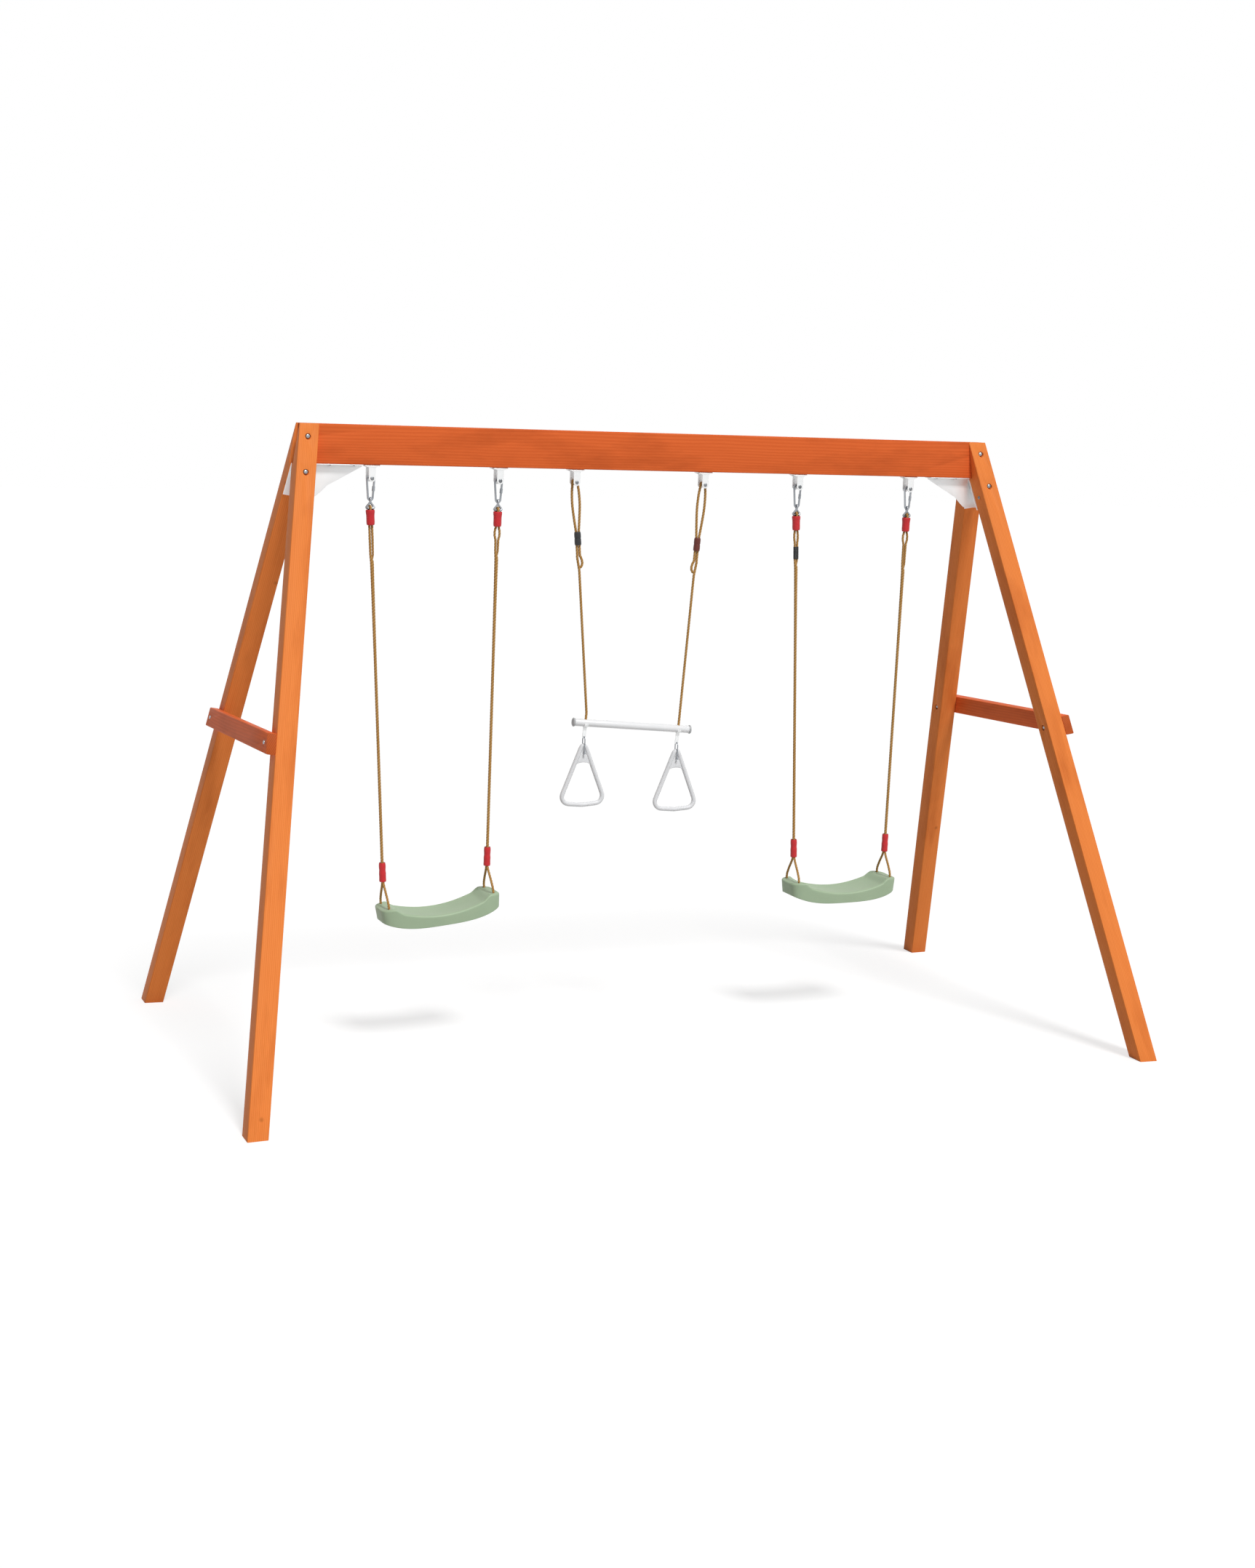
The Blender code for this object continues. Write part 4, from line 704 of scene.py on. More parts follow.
def timberPiece(name, node, look, axes, middle, size, planes, cutters, seed):
    # a rounded rectangle carried along its length, trimmed and drilled, with grain coordinates kept on its points
    across, deep, along = axes
    profile = roundedOutline(size[0], size[1], timberShape["round"])
    steps = np.linspace(-size[2] / 2, size[2] / 2, 9)[:, None, None]
    grid = middle + along * steps + profile[None, :, :1] * across + profile[None, :, 1:] * deep
    obj = newObject(name, trimmed(cappedMesh(name, grid), planes))
    carve(obj, cutters)
    soften = obj.modifiers.new("softEdges", "BEVEL")
    soften.width = timberShape["softEdge"]
    soften.segments = 2
    soften.limit_method = "ANGLE"
    soften.angle_limit = np.radians(42)
    applied(obj)
    mesh = obj.data
    mesh.name = name
    local = pointsOf(mesh) - middle
    # the seed sets each timber in its own stretch of the pattern
    grain = np.stack([local @ along + 3.7 * seed, local @ across + 0.31 * seed, local @ deep - 0.17 * seed], -1)
    layer = mesh.attributes.new("grain", "FLOAT_VECTOR", "POINT")
    layer.data.foreach_set("vector", grain.astype(np.float32).ravel())
    normals = np.empty(len(mesh.polygons) * 3)
    mesh.polygons.foreach_get("normal", normals)
    ends = (np.abs(normals.reshape(-1, 3) @ along) > 0.8).astype(np.int32)
    mesh.materials.clear()
    mesh.materials.append(looks[look])
    mesh.materials.append(looks["endGrain"])
    mesh.polygons.foreach_set("material_index", ends)
    smoothed(mesh, 38)
    settled(obj, "frame", node)


def makeLeg(side, face, name, drilled, seed):
    shape, top, gap = timberShape, layout["height"], layout["gap"]
    outward, facing, axis, _ = legAxes(side, face)
    middle = apexOf(side, face) - outward * shape["width"] / 2 - facing * shape["depth"] / 2
    middle = middle + axis * shape["legLength"] * shape["legShare"]
    planes = [((0, 0, 0), -zAxis), ((0, 0, top), zAxis), ((0, face * gap, 0), (0, -face, 0))]
    housing = shape["beamDepth"] / 2 + gap
    cutters = [boxCutter((-2, -housing, layout["beamUnderside"] - gap), (2, housing, top + 0.1))]
    for x, z in drilled:
        seat = legFaceY(abs(x), z) - boltLook["seatDepth"]
        for start, radius in ((0, boltLook["hole"]), (face * seat, boltLook["counterbore"])):
            cutters.append(rodCutter((x, start, z), (x, face * boltLook["far"], z), radius))
    joint, _ = braceBoltLine(side, face)
    inner, past = joint - outward * shape["width"], outward * boltLook["past"]
    cutters.append(rodCutter(inner - past, joint + past, boltLook["hole"]))
    cutters.append(rodCutter(inner + outward * boltLook["recess"], inner - past, boltLook["counterbore"]))
    timberPiece("leg_timber_" + name, "leg_" + name, "legTimber", (outward, facing, axis), middle,
                (shape["width"], shape["depth"], shape["legLength"]), planes, cutters, seed)


def makeBrace(side, name, seed):
    shape, tilt = timberShape, timberShape["braceTilt"]
    outward, _, _, down = legAxes(side, 1)
    middle = apexOf(side) + down * shape["braceDown"] + outward * (layout["gap"] + shape["braceThickness"] / 2)
    planes, cutters = [], []
    for face in faceNames:
        planes.append((apexOf(side, face), legAxes(side, face)[1]))
        joint, _ = braceBoltLine(side, face)
        cutters.append(rodCutter(joint - outward * boltLook["past"], joint + outward * 0.08, boltLook["hole"]))
    axes = (outward, unit(down - yAxis * tilt), unit(yAxis + down * tilt))
    timberPiece("brace_timber_" + name, "brace_" + name, "beamTimber", axes, middle,
                (shape["braceThickness"], shape["braceHeight"], shape["braceLength"]), planes, cutters, seed)


places = [(side * x, z) for side in sideNames for x, z in boltLook["places"]]
middle = zAxis * (layout["height"] - timberShape["beamHeight"] / 2)
timberPiece("beam_timber", "top_beam", "beamTimber", (yAxis, zAxis, xAxis), middle,
            (timberShape["beamDepth"], timberShape["beamHeight"], timberShape["beamLength"]), [],
            [rodCutter((x, -boltLook["far"], z), (x, boltLook["far"], z), boltLook["hole"]) for x, z in places], 1)
seed = 2
for side, sideName in sideNames.items():
    for face, faceName in faceNames.items():
        makeLeg(side, face, faceName + "_" + sideName, [p for p in places if p[0] * side > 0], seed)
        seed += 1
    makeBrace(side, sideName, seed)
    seed += 1
print("timber cut and drilled")


def domed(radius, height):
    # the outer half of an ellipse, from its top down to the rim
    return [(radius * np.cos(a), height * np.sin(a)) for a in np.linspace(pi / 2, 0.0, 9)]


def doubleEnded(half):
    # a profile and its mirror image about height zero
    return half + [(r, -h) for r, h in half[::-1]]


def boltProfile(headRadius, headHeight, grip):
    # dome, shank, then a hexagonal cap nut at the far end
    nut, tall = boltLook["nutRadius"], boltLook["nutHeight"]
    rows = domed(headRadius, headHeight) + [(boltLook["shank"], 0.0), (boltLook["shank"], -grip)]
    for r, h, hexagon in ((0.93, 0.0, 1.0), (1.0, 0.04, 1.0), (1.0, 0.50, 1.0), (0.93, 0.56, 0.7), (0.80, 0.58, 0.0)):
        rows.append((r * nut, -grip - h * tall, hexagon))
    return rows + [(0.76 * nut * r, -grip - (0.58 + 0.42 * h) * tall) for r, h in domed(1.0, 1.0)[::-1]]


def screw(name, size, place, direction, count):
    # a low round head with a hexagonal socket
    head = [(0.0, 0.35), (0.42, 0.35, 1.0), (0.42, 0.90, 1.0), (0.50, 1.0), (0.72, 0.93), (0.90, 0.68), (1.0, 0.30),
            (1.0, 0.0), (0.5, 0.0), (0.5, -1.0), (0.0, -1.4)]
    profile = [(r * size[0], h * size[1], *hexagon) for r, h, *hexagon in head]
    turned(name, profile, place, direction, "frame", "darkZinc", count=count)


for side, sideName in sideNames.items():
    for (x, z), level in zip(boltLook["places"], ("upper", "lower")):
        seat = legFaceY(x, z) - boltLook["seatDepth"] + layout["gap"]
        turned("frame_bolt_" + sideName + "_" + level,
               boltProfile(boltLook["headRadius"], boltLook["headHeight"], 2 * seat), (side * x, -seat, z), -yAxis,
               "frame", "zinc", "apex_bolt_" + sideName + "_" + level, 48)
    for face, faceName in faceNames.items():
        place = faceName + "_" + sideName
        joint, outward = braceBoltLine(side, face)
        seat = 2 * layout["gap"] + timberShape["braceThickness"]
        grip = seat + timberShape["width"] - boltLook["recess"] + layout["gap"]
        turned("cross_bolt_" + place, boltProfile(boltLook["braceHeadRadius"], boltLook["braceHeadHeight"], grip),
               joint + outward * seat, outward, "frame", "zinc", "brace_bolt_" + place, 48)
        # through the side of each leg just below the beam
        x, y, z = boltLook["sideScrew"]
        screw("side_screw_" + place, boltLook["sideScrewSize"], (side * x, face * y, z), -outward, 36)
print("bolts in")

bracketLook = {
    "steel": 0.003, "reach": 0.214, "flangeEnd": 0.052, "proud": 0.008, "tipDrop": 0.004, "edge": 0.0007,
    "knee": (0.098, 0.070), "foot": (0.059, 0.106), "corner": 0.004,
    "screwIn": (0.030, 0.110), "screwY": (0.0125, -0.0125),
}


def plateMesh(name, outline, thickness, origin, axes, edge):
    # the outline stands at rising heights across the plate, drawn in a little at both faces to soften the edge
    ahead = unit(np.roll(outline, -1, 0) - np.roll(outline, 1, 0))
    inward = np.stack([-ahead[:, 1], ahead[:, 0]], -1)
    area = np.sum(outline[:, 0] * np.roll(outline[:, 1], -1) - np.roll(outline[:, 0], -1) * outline[:, 1])
    inward = inward * np.sign(area)
    half = thickness / 2
    rows = []
    for inset, height in ((edge, -half), (0.3 * edge, 0.3 * edge - half), (0.0, edge - half),
                          (0.0, half - edge), (0.3 * edge, half - 0.3 * edge), (edge, half)):
        flat = outline + inward * inset
        rows.append(origin + flat[:, :1] * axes[0] + flat[:, 1:] * axes[1] + height * axes[2])
    return cappedMesh(name, np.stack(rows))


def makeBracket(side, sideName):
    # a web with a flange under the beam and a plate on the inside of each leg
    spec, gap, lean = bracketLook, layout["gap"], layout["legLean"]
    steel, edge, top, span = spec["steel"], spec["edge"], layout["beamUnderside"] - gap, layout["halfSpan"]
    inner, flangeX, end = span - spec["reach"], span - spec["flangeEnd"], span + spec["proud"]
    kneeX, kneeDrop = span - spec["knee"][0], spec["knee"][1]
    footX, footDrop = span - spec["foot"][0], spec["foot"][1]
    corners = [(inner, top - 0.0002), (inner, top - steel - spec["tipDrop"]), (kneeX, top - kneeDrop),
               (kneeX + 0.6 * (footX - kneeX), top - 0.88 * footDrop), (footX, top - footDrop),
               (end, top - footDrop), (end, top - 0.0002)]
    outline = even(corners, 0.002, 2, wrap=True) * (side, 1.0)
    flange = roundedOutline(flangeX - inner, timberShape["beamDepth"], spec["corner"])
    middle = np.array([side * (inner + flangeX) / 2, 0.0, top - steel / 2])
    meshes = [plateMesh("web", outline, steel, np.zeros(3), (xAxis, zAxis, yAxis), edge),
              plateMesh("flange", flange, steel, middle, (xAxis, yAxis, zAxis), edge)]
    width, footZ = timberShape["width"] + 0.001, top - footDrop
    for face in faceNames:
        outward, facing, axis, _ = legAxes(side, face)
        middle = apexOf(side, face) - outward * (0.002 + width / 2)
        middle = middle - facing * (timberShape["depth"] + gap + steel / 2) + axis * slopeAt(span, top) / np.cos(lean)
        plate = plateMesh("plate", roundedOutline(width, footDrop * 3, spec["corner"]), steel, middle,
                          (outward, axis, facing), edge)
        back = legFaceY(end, footZ) - timberShape["depth"] / np.cos(lean)
        foot = np.array([side * end, face * back, footZ])
        meshes.append(trimmed(plate, [((0, 0, top - gap), zAxis), ((0, 0, 0), (0, -face, 0)), (foot, axis)]))
    piece("bracket_steel_" + sideName, meshes, "frame", "whiteSteel", "corner_bracket_" + sideName)
    spots = [(inner + x, y) for x in spec["screwIn"] for y in spec["screwY"]]
    for number, (x, y) in enumerate(spots, 1):
        screw("bracket_screw_" + sideName + "_" + str(number), boltLook["screwSize"], (side * x, y, top - steel),
              -zAxis, 30)


hangerLook = {
    "steel": 0.003, "edge": 0.0006, "halfGap": 0.017, "bend": 0.0035,
    "halfBase": 0.0270, "halfEar": 0.0115, "flare": 0.008,
    "pinRadius": 0.004, "headRadius": 0.0065, "headHeight": 0.003, "sunk": 0.0001, "screwX": 0.019,
}


def makeHanger(name, x):
    # one strip folded down at both sides: its width narrows from the base to the ear, and the ear ends round
    spec, top = hangerLook, layout["beamUnderside"] - layout["gap"]
    steel, ear, fold = spec["steel"], spec["halfEar"], spec["bend"]
    out, level, low = spec["halfGap"] + steel / 2, top - steel / 2, layout["pinZ"] - ear
    drop = np.concatenate([low + ear * (1 - np.cos(np.linspace(0.02, pi / 2, 14))),
                           np.linspace(low + 1.15 * ear, level - fold - 0.0005, 22)])
    half = np.vstack([np.stack([np.full(len(drop), -out), drop], -1),
                      arcOf((fold - out, level - fold), fold, pi, pi / 2, 8),
                      np.stack([np.linspace(fold + 0.002 - out, 0.0, 6)[:-1], np.full(5, level)], -1)])
    flat = np.vstack([half, [(0.0, level)], half[::-1] * (-1, 1)])
    height = flat[:, 1]
    flare = np.clip((height - (level - spec["flare"])) / spec["flare"], 0.0, 1.0)
    width = ear + (spec["halfBase"] - ear) * flare ** 2 * (3 - 2 * flare)
    rounding = np.clip((layout["pinZ"] - height) / ear, 0.0, 1.0)
    width = (width * np.sqrt(np.clip(1 - rounding ** 2, 0.0004, 1.0)))[:, None]
    # an outline two metres wide is drawn in to the strip's own width at each point, its edges kept
    outline = roundedOutline(2.0, steel, spec["edge"], 3)
    reach = np.sign(outline[:, 0]) * (width - 1.0 + np.abs(outline[:, 0]))
    reach = np.where(np.abs(reach) > width, np.sign(reach) * width, reach)
    rings = np.stack([reach, np.broadcast_to(outline[:, 1], reach.shape)], -1)
    grid = carried(np.column_stack([np.full(len(flat), x), flat]), rings, xAxis)
    piece("hanger_steel_" + name, [cappedMesh("hanger", grid)], "frame", "whiteSteel",
          "hanger_" + name, 40.0)
    end = spec["halfGap"] + steel - spec["sunk"]
    head = [(r, end + h) for r, h in domed(spec["headRadius"], spec["headHeight"])] + [(spec["pinRadius"], end)]
    turned("hanger_pin_" + name, doubleEnded(head), (x, 0.0, layout["pinZ"]), -yAxis, "frame", "darkZinc",
           count=36)
    for sign, tag in sideNames.items():
        screw("hanger_screw_" + name + "_" + tag, boltLook["screwSize"], (x + sign * spec["screwX"], 0.0, top - steel),
              -zAxis, 30)


for side, sideName in sideNames.items():
    makeBracket(side, sideName)
for name, hangers in zip((*swings, "trapeze"), (*layout["swingHangers"], layout["trapezeHangers"])):
    for x, tag in zip(hangers, sideNames.values()):
        makeHanger(name + "_" + tag, x)
print("brackets and hangers fixed")

linkLook = {
    "wire": 0.0035, "topRadius": 0.0125, "bottomRadius": 0.008, "step": 0.0014,
    "nutRadius": 0.0052, "nutLength": 0.016, "nutEdge": 0.0012, "bore": 0.0036,
    "ringDrop": 0.027, "ringHalf": 0.014,
}


def makeLink(name, node, x, body):
    # a pear loop of wire, wide at the hanger pin, with a screw sleeve closed over its right limb
    spec = linkLook
    low, high = layout["linkBottomZ"] + spec["bottomRadius"], layout["linkTopZ"] - spec["topRadius"]
    flat = np.vstack([arcOf((x, low), spec["bottomRadius"], 0.0, -pi, 24),
                      arcOf((x, high), spec["topRadius"], pi, 0.0, 32)])
    loop = np.column_stack([flat[:, 0], np.zeros(len(flat)), flat[:, 1]])
    roundWire(name, even(loop, spec["step"], 2, wrap=True), spec["wire"], body, "zinc", yAxis, node, True)
    foot = np.array([x + spec["bottomRadius"], 0.0, low])
    head = np.array([x + spec["topRadius"], 0.0, high])
    half, nut, edge, bore = spec["nutLength"] / 2, spec["nutRadius"], spec["nutEdge"], spec["bore"]
    outer = [(bore + 0.0003, half), (0.88 * nut, half), (nut, half - edge, 1.0), (nut, edge - half, 1.0),
             (0.88 * nut, -half), (bore + 0.0003, -half)]
    inner = [(bore, half - 0.0003), (bore, 0.0003 - half)]
    hollowPiece(name + "_sleeve_nut", outer, inner, (head + foot) / 2, unit(head - foot), body, "zinc")


def makeRopeRing(name, node, x, body):
    # over the link's foot from front to back, then spreading sideways to a flat base under the rope
    half, drop, wire = linkLook["ringHalf"], linkLook["ringDrop"], linkLook["wire"]
    bend = 2 * wire + layout["gap"]
    low, foot = layout["ringBaseZ"], layout["linkBottomZ"]
    angle = np.linspace(-pi / 2, pi / 2, 11)
    top = np.column_stack([np.full(11, x), bend * np.sin(angle), foot + bend * np.cos(angle)])
    side = throughPoints([top[-1], (x + 0.25 * half, 0.85 * bend, foot - 0.3 * drop),
                          (x + 0.75 * half, 0.45 * bend, foot - 0.68 * drop),
                          (x + half, 0.12 * bend, low + wire), (x + 0.79 * half, 0.0, low)], 6)[1:]
    other = np.column_stack([2 * x - side[:, 0], -side[:, 1], side[:, 2]])[::-1]
    loop = even(np.vstack([top, side, other]), linkLook["step"], 3, wrap=True)
    roundWire(name, loop, wire, body, "zinc", loop - loop.mean(0), node, True)


# radii at shares of each sleeve's length, and the round of its rims
sleeveLook = {
    # a wide mouth round the ring, a waist, then a slight swell before the round foot
    "upper": ([(0.0, 0.0146), (0.09, 0.0150), (0.20, 0.0147), (0.34, 0.0138), (0.55, 0.0136), (0.80, 0.0137),
               (0.93, 0.0132), (1.0, 0.0122)], 0.0012),
    "lower": ([(0.0, 0.0106), (0.10, 0.0114), (0.22, 0.0116), (0.40, 0.0109), (0.50, 0.0114), (0.58, 0.0118),
               (0.75, 0.0115), (0.92, 0.0118), (1.0, 0.0112)], 0.00084),
    # two moulded halves meet at a small waist
    "trapeze": ([(0.0, 0.0101), (0.12, 0.0112), (0.30, 0.0115), (0.46, 0.0111), (0.50, 0.0102), (0.54, 0.0111),
                 (0.75, 0.0115), (0.92, 0.0113), (1.0, 0.0109)], 0.0009),
    "mouth": 0.0006,
}


def makeSleeve(name, node, kind, length, bores, top, way, body, look):
    # the marks joined by a smooth curve, with a small round at both ends, over a bore
    marks, rim = sleeveLook[kind]
    curve = throughPoints([(radius, share * length) for share, radius in marks], 8)
    angle = np.linspace(0.0, pi / 2, 5)
    first = np.column_stack([curve[0, 0] - rim + rim * np.sin(angle), rim - rim * np.cos(angle)])
    last = np.column_stack([curve[-1, 0] - rim + rim * np.cos(angle), length - rim + rim * np.sin(angle)])
    inner = curve[(curve[:, 1] > rim) & (curve[:, 1] < length - rim)]
    outer = [(r, -down) for r, down in np.vstack([first, inner, last])]
    mouth = sleeveLook["mouth"]
    downs = [mouth] + [0.3 * length] * (len(bores) - 2) + [length - mouth]
    hollowPiece(name, outer, [(r, -down) for r, down in zip(bores, downs)], top, -way, body, look, node)


for number, swing in enumerate(swings):
    body = swing + "_ropes_and_seat"
    for x, tag in zip(layout["swingHangers"][number], sideNames.values()):
        makeLink(swing + "_pear_link_" + tag, swing + "_screw_link_" + tag, x, swing + "_links")
        makeRopeRing(swing + "_wire_ring_" + tag, swing + "_rope_ring_" + tag, x, body)
        _, _, base, way, run, bend, inside = routes[swing, tag]
        room = swingRope["strand"] + swingRope["clearance"]
        bores = (bend + room, bend + room - 0.0006, swingRope["offset"] + room)
        makeSleeve(swing + "_upper_grip_" + tag, swing + "_upper_sleeve_" + tag, "upper", swingRope["upperSleeve"],
                   bores, base + way * (swingRope["ringWire"] + 2 * layout["gap"]), way, body, "red_sleeve")
        makeSleeve(swing + "_lower_grip_" + tag, swing + "_lower_sleeve_" + tag, "lower", swingRope["lowerSleeve"],
                   (inside + room,) * 2, base + way * (run - swingRope["lowerSleeve"]), way, body, "red_sleeve")
print("links, rings and sleeves on")


def seatPlan(count):
    # a rounded rectangle as a superellipse, its points spread evenly and alike in each quarter
    angle = (np.arange(count // 4) + 0.5) * 2 * pi / count
    power = 2.0 / seatLook["cornerPower"]
    quarter = np.stack([np.cos(angle) ** power, np.sin(angle) ** power], -1)
    quarter = np.vstack([[(1.0, 0.0)], quarter, [(0.0, 1.0)]])
    size = np.array([seatLook["halfLength"], seatLook["halfDepth"]])
    reach = runLength(quarter * size)
    spread = (np.arange(count // 4) + 0.5) / (count // 4) * reach[-1]
    quarter = np.stack([np.interp(spread, reach, axis) for axis in quarter.T], -1)
    second = quarter[::-1] * (-1, 1)
    return np.vstack([quarter, second, -quarter, -second]) * size


def seatHeight(plan):
    # the top: a bowl along the seat and a shallow dish across it
    deep = np.clip(plan[..., 1] / seatLook["halfDepth"], -1, 1)
    return seatTop(plan[..., 0]) - seatLook["dish"] * (1.0 - deep ** 2)


def makeSeat(swing, number):
    spec = seatLook
    plan, size = seatPlan(192), np.array([spec["halfLength"], spec["halfDepth"]])
    radius, wall, draft, foot = spec["edgeRadius"], spec["wall"], spec["draft"], spec["foot"]
    inside = wall + 0.6 * radius
    deepest = spec["sag"] + spec["earRise"] + spec["skirtMiddle"]
    bottom = (deepest - spec["skirtEnd"]) * np.abs(plan[:, 0] / size[0]) ** 3 - deepest
    skirt = seatHeight(plan) - bottom
    rows = []

    def ring(inset, drop, hung=False):
        # inset from the edge, and drop below the top there, or below the edge's own height where it is hung
        flat = plan * (1.0 - inset / size)
        rows.append(np.column_stack([flat, seatHeight(plan if hung else flat) - drop]))

    # from the middle line out with a raised bead near the edge, round the edge, down, and back inside
    for inset in np.concatenate([np.linspace(size[1], 0.018, 12), np.linspace(0.0165, radius + 0.001, 9)]):
        ring(inset, -spec["bead"] * np.exp(-((inset - radius - 0.003) / 0.0025) ** 2))
    for angle in np.linspace(0.12, pi / 2, 7):
        ring(radius * (1 - np.sin(angle)), radius * (1 - np.cos(angle)))
    for fall in np.linspace(0.0, 1.0, 8)[1:]:
        ring(draft * fall, radius + (skirt - radius - foot) * fall, True)
    for angle in np.linspace(0.3, pi - 0.3, 5):
        ring(draft + wall / 2 * (1 - np.cos(angle)), skirt - foot + foot * np.sin(angle), True)
    for fall in np.linspace(1.0, 0.0, 7):
        ring(draft * fall + wall, inside + (skirt - inside - foot) * fall, True)
    for angle in np.linspace(pi / 2, 0.0, 4)[1:]:
        ring(wall + 0.6 * radius * (1 - np.sin(angle)), wall + 0.6 * radius * (1 - np.cos(angle)))
    for inset in np.linspace(inside + 0.003, size[1], 12):
        ring(inset, wall)
    grid = np.stack(rows)
    world = onSeat(number, grid.reshape(-1, 3)).reshape(grid.shape)
    seat = gridPiece(swing + "_moulded_seat", world, swing + "_ropes_and_seat", "seat", swing + "_seat",
                     sharp=42.0)
    cutters = []
    for x in (-spec["holeX"], spec["holeX"]):
        for y in (-spec["holeY"], spec["holeY"]):
            low, high = onSeat(number, [(x, y, -0.015), (x, y, 0.006)])
            cutters.append(rodCutter(low, high, spec["holeRadius"], 28))
    carve(seat, cutters)
    seat.data.set_sharp_from_angle(angle=np.radians(42))


for number, swing in enumerate(swings):
    makeSeat(swing, number)
print("seats moulded")

gymLook = {
    "strapWidth": 0.013, "strapDrop": 0.042, "strapTab": 0.004, "holeUp": 0.006, "steel": 0.003, "edge": 0.0006,
    "shackleWire": 0.002, "shackleRadius": 0.011, "pinDrop": 0.0444, "step": 0.0012,
    "tube": 0.0077, "apexAbove": 0.0345, "bottomBelow": 0.186, "halfWidth": 0.0825,
    "topBend": 0.0085, "lowBend": 0.026, "baseBow": 0.004, "webBelow": 0.040, "web": 0.006,
}


def makeBar():
    spec = trapezeLook
    half, radius, soft = spec["length"] / 2, spec["barRadius"], spec["barEdge"]
    ends = onBar([(-half, 0, 0), (half, 0, 0)])
    across = unit(ends[1] - ends[0])
    profile = [(0.0, 0.0), (radius - soft, 0.0), (radius - 0.3 * soft, 0.3 * soft), (radius, soft)]
    profile += [(r, spec["length"] - h) for r, h in profile[::-1]]
    bar = turned("trapeze_round_bar", profile, ends[0], across, "trapeze", "barCoat", "trapeze_bar", 64)
    cutters = []
    for side in sideNames:
        low, high = onBar([(side * spec["ropeX"], 0.0, z) for z in (-0.001, 2 * radius)])
        cutters.append(rodCutter(low, high, spec["ropeRadius"] + 0.0006, 32))
    carve(bar, cutters)
    bar.data.set_sharp_from_angle(angle=np.radians(35))
    plug = [(0.0, 1.0), (0.60, 1.0), (0.80, 0.94), (0.93, 0.80), (1.0, 0.58), (1.0, 0.40), (0.95, 0.12), (0.92, 0.0),
            (0.0, 0.0)]
    plug = [(r * spec["capRadius"], h * spec["capLength"]) for r, h in plug]
    for side, tag in sideNames.items():
        turned("bar_plug_" + tag, plug, onBar((side * (half + layout["gap"]), 0.0, 0.0)), across * side, "trapeze",
               "greyCap", "bar_end_cap_" + tag, 64)


def makeStrap(tag, x, hole):
    # a strip carried round the bar's underside, joined by a flat tab with a hole
    spec, radius, gap, half = gymLook, trapezeLook["barRadius"], layout["gap"], gymLook["strapWidth"] / 2
    middle = radius + gap + spec["steel"] / 2
    angle = np.linspace(np.radians(-166), np.radians(-14), 33)
    path = np.column_stack([np.full(33, x), middle * np.cos(angle), middle * np.sin(angle)])
    strip = roundedOutline(spec["strapWidth"], spec["steel"], spec["edge"], 3)
    grid = carried(path, np.broadcast_to(strip, (33, *strip.shape)), xAxis)
    saddle = cappedMesh("saddle", onBar(grid.reshape(-1, 3)).reshape(grid.shape))
    top, bottom = -radius - gap - 0.0015, -radius - spec["strapDrop"]
    outline = np.vstack([arcOf((x, bottom + half), half, pi, 2 * pi, 25), [(x + half, top), (x - half, top)]])
    tab = plateMesh("tab", even(outline, spec["step"], 0, wrap=True), spec["strapTab"], np.zeros(3),
                    (xAxis, zAxis, yAxis), spec["edge"])
    tab.vertices.foreach_set("co", onBar(pointsOf(tab)).astype(np.float32).ravel())
    strap = piece("ring_clip_" + tag, [saddle, tab], "trapeze", "whiteSteel", "ring_strap_" + tag)
    reach = 0.01 * yAxis
    carve(strap, [rodCutter(hole - reach, hole + reach, spec["shackleWire"] + 0.001, 28)])
    strap.data.set_sharp_from_angle(angle=np.radians(35))


def makeShackle(tag, hole):
    radius, wire = gymLook["shackleRadius"], gymLook["shackleWire"]
    bow = hole[2] - radius
    pin = bow - gymLook["pinDrop"]
    angle = np.linspace(0.0, pi, 25)
    arc = np.column_stack([np.full(25, hole[0]), radius * np.cos(angle), bow + radius * np.sin(angle)])
    low = np.array([hole[0], 0.0, pin - wire])
    path = even(np.vstack([low + radius * yAxis, arc, low - radius * yAxis]), gymLook["step"], 2)
    body = tag + "_ring_shackle"
    roundWire("shackle_bow_" + tag, path, wire, body, "zinc", xAxis, "ring_shackle_" + tag)
    out, inner, head = radius + 2 * wire, radius + 0.2 * wire, 1.7 * wire
    profile = [(0.0, out), (0.7 * head, out), (head, out - 0.0006), (head, inner), (1.2 * wire, inner)]
    turned("shackle_pin_" + tag, doubleEnded(profile), (hole[0], 0.0, pin), -yAxis, body, "zinc", count=32)


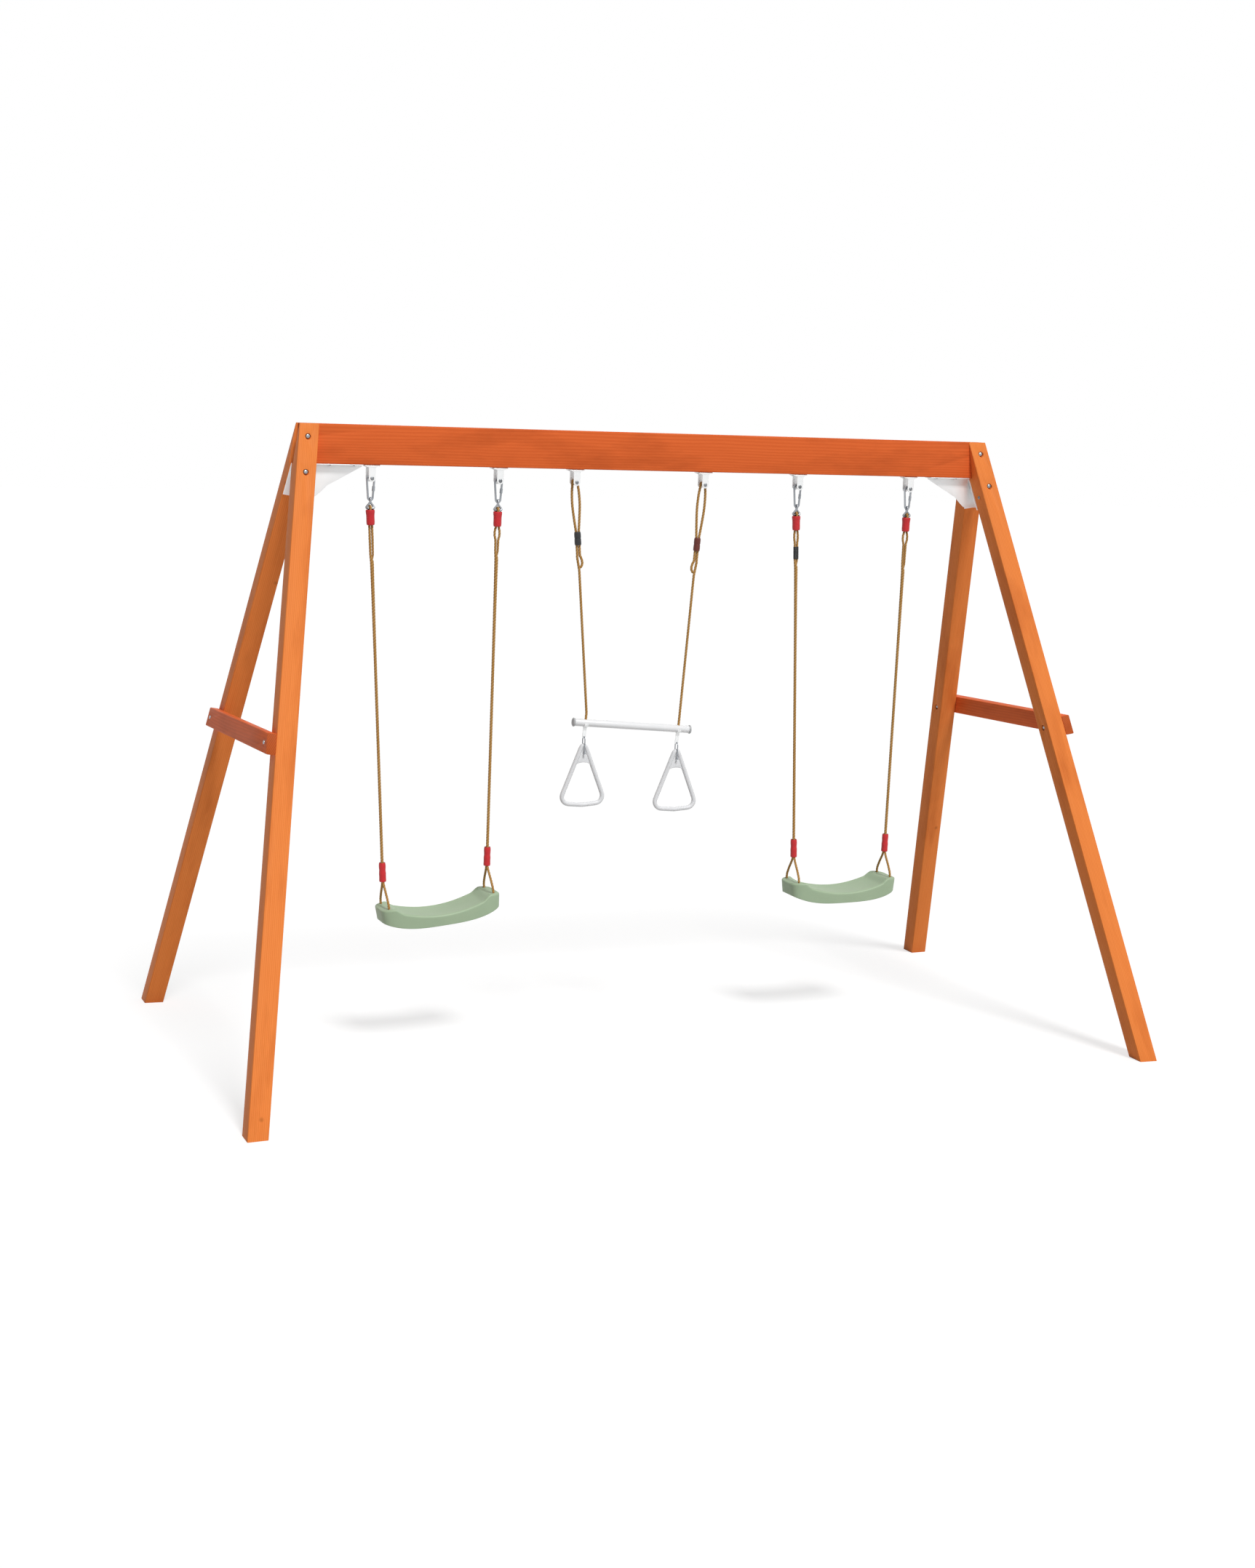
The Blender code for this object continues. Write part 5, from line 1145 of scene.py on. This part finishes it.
def makeGymRing(tag, hole):
    # a round tube along a rounded triangle, with a flat web across its top corner
    spec, body = gymLook, tag + "_gym_ring"
    tube, top, low = spec["tube"], spec["topBend"], spec["lowBend"]
    pin = hole[2] - spec["shackleRadius"] - spec["pinDrop"]
    lowZ = pin - spec["bottomBelow"] + tube
    corner = np.array([spec["halfWidth"] - tube - low, lowZ + low])
    tip = np.array([0.0, pin + spec["apexAbove"] - tube - top])
    rise = np.array([corner[0], tip[1] - corner[1]])
    slope = np.arctan2(rise[0], rise[1]) + np.arcsin((low - top) / np.linalg.norm(rise))
    flat = np.vstack([arcOf(tip, top, slope, pi - slope, 14), arcOf(corner * (-1, 1), low, pi - slope, 1.47 * pi, 22),
                      [(0.0, lowZ - spec["baseBow"])], arcOf(corner, low, 1.53 * pi, 2 * pi + slope, 22)])
    loop = np.column_stack([hole[0] + flat[:, 0], np.zeros(len(flat)), flat[:, 1]])
    roundWire("hand_ring_" + tag, even(loop, 0.003, 6, wrap=True), tube, body, "ring", yAxis,
              "gym_ring_" + tag, True, 28)
    webLow = pin - spec["webBelow"]
    spread = top + (tip[1] - webLow) * np.tan(slope)
    # the web's lower edge bows up in its middle
    right = [(0.8 * top, tip[1] + 0.3 * top)]
    right += [(share * spread, webLow + up) for share, up in ((1.0, 0.0), (0.72, 0.0015), (0.45, 0.0048),
                                                              (0.15, 0.0062))]
    left = [(-x, z) for x, z in right[::-1]]
    outline = even(left[-1:] + right + left[:-1], 0.0015, 1, wrap=True)
    mesh = plateMesh("web", outline, spec["web"], xAxis * hole[0], (xAxis, zAxis, yAxis), 0.0008)
    piece("ring_web_" + tag, [mesh], body, "ring")


makeBar()
for (end, tag), look in zip(sideNames.items(), ("black_sleeve", "brown_sleeve")):
    x = end * trapezeLook["ropeX"]
    hole = onBar((x, 0.0, gymLook["holeUp"] - gymLook["strapDrop"] - trapezeLook["barRadius"]))
    makeStrap(tag, x, hole)
    makeShackle(tag, hole)
    makeGymRing(tag, hole)
    _, _, pin, way, top, beside = routes["trapeze", tag]
    bore = beside + trapezeLook["ropeRadius"] + layout["gap"]
    makeSleeve("trapeze_grip_" + tag, "trapeze_sleeve_" + tag, "trapeze", trapezeLook["sleeveLength"], (bore, bore),
               pin + way * top, way, "trapeze", look)
print("trapeze hung")

stageLook = {
    "matt": 0.68, "share": 0.454, "strength": 1.56,
    "sun": 2.30, "sunAngle": 14.0, "from": (0.06, -0.58, 0.81), "sky": (0.06, 0.46),
}
white = (1.0, 1.0, 1.0, 1.0)


def seenRays(tree):
    # one where the ray comes from the camera, a glossy surface or a clear one
    rays = addNode(tree, "LightPath")
    seen = rays.outputs["Is Camera Ray"]
    for kind in ("Is Glossy Ray", "Is Transmission Ray"):
        seen = addNode(tree, "Math", {"operation": "MAXIMUM"}, {0: seen, 1: rays.outputs[kind]})
    return seen


def makeStage():
    mesh = newMesh("paleFloor", [(-40, -40, 0), (40, -40, 0), (40, 40, 0), (-40, 40, 0)], [(0, 1, 2, 3)])
    floor = newObject("paleFloor", mesh)
    # matt pale studio floor; what the camera and gloss see is partly lit from within, so shadows stay light
    made, tree = newMaterial("paleStudioFloor")
    share = addNode(tree, "Math", {"operation": "MULTIPLY", 1: stageLook["share"]}, {0: seenRays(tree)})
    matt = addNode(tree, "BsdfDiffuse", {"Color": (*[stageLook["matt"]] * 3, 1.0)})
    glow = addNode(tree, "Emission", {"Color": white, "Strength": stageLook["strength"]})
    both = addNode(tree, "MixShader", links={0: share, 1: matt, 2: glow})
    addNode(tree, "OutputMaterial", links={"Surface": both})
    mesh.materials.append(made)


def makeLight():
    sun = newObject("softKey", bpy.data.lights.new("softKey", "SUN"))
    sun.data.energy = stageLook["sun"]
    sun.data.angle = np.radians(stageLook["sunAngle"])
    sun.rotation_euler = Vector(stageLook["from"]).to_track_quat("Z", "Y").to_euler()
    world = bpy.data.worlds.new("studio")
    bpy.context.scene.world = world
    world.use_nodes = True
    tree = world.node_tree
    tree.nodes.clear()
    # white where the camera looks; everywhere else a pale light that grows from the left to the right
    side = addNode(tree, "SeparateXYZ", links={0: addNode(tree, "TexCoord").outputs["Generated"]})
    start, end = stageLook["sky"]
    glow = addNode(tree, "MapRange", {"From Min": -1.0, "To Min": start, "To Max": end}, {"Value": side})
    level = addNode(tree, "MapRange", {"To Max": 1.0}, {"Value": seenRays(tree), "To Min": glow})
    sky = addNode(tree, "Background", {"Color": white}, {"Strength": level})
    addNode(tree, "OutputWorld", links={"Surface": sky})
    bpy.context.scene.view_settings.view_transform = "Standard"


makeStage()
makeLight()
print("stage and light set")
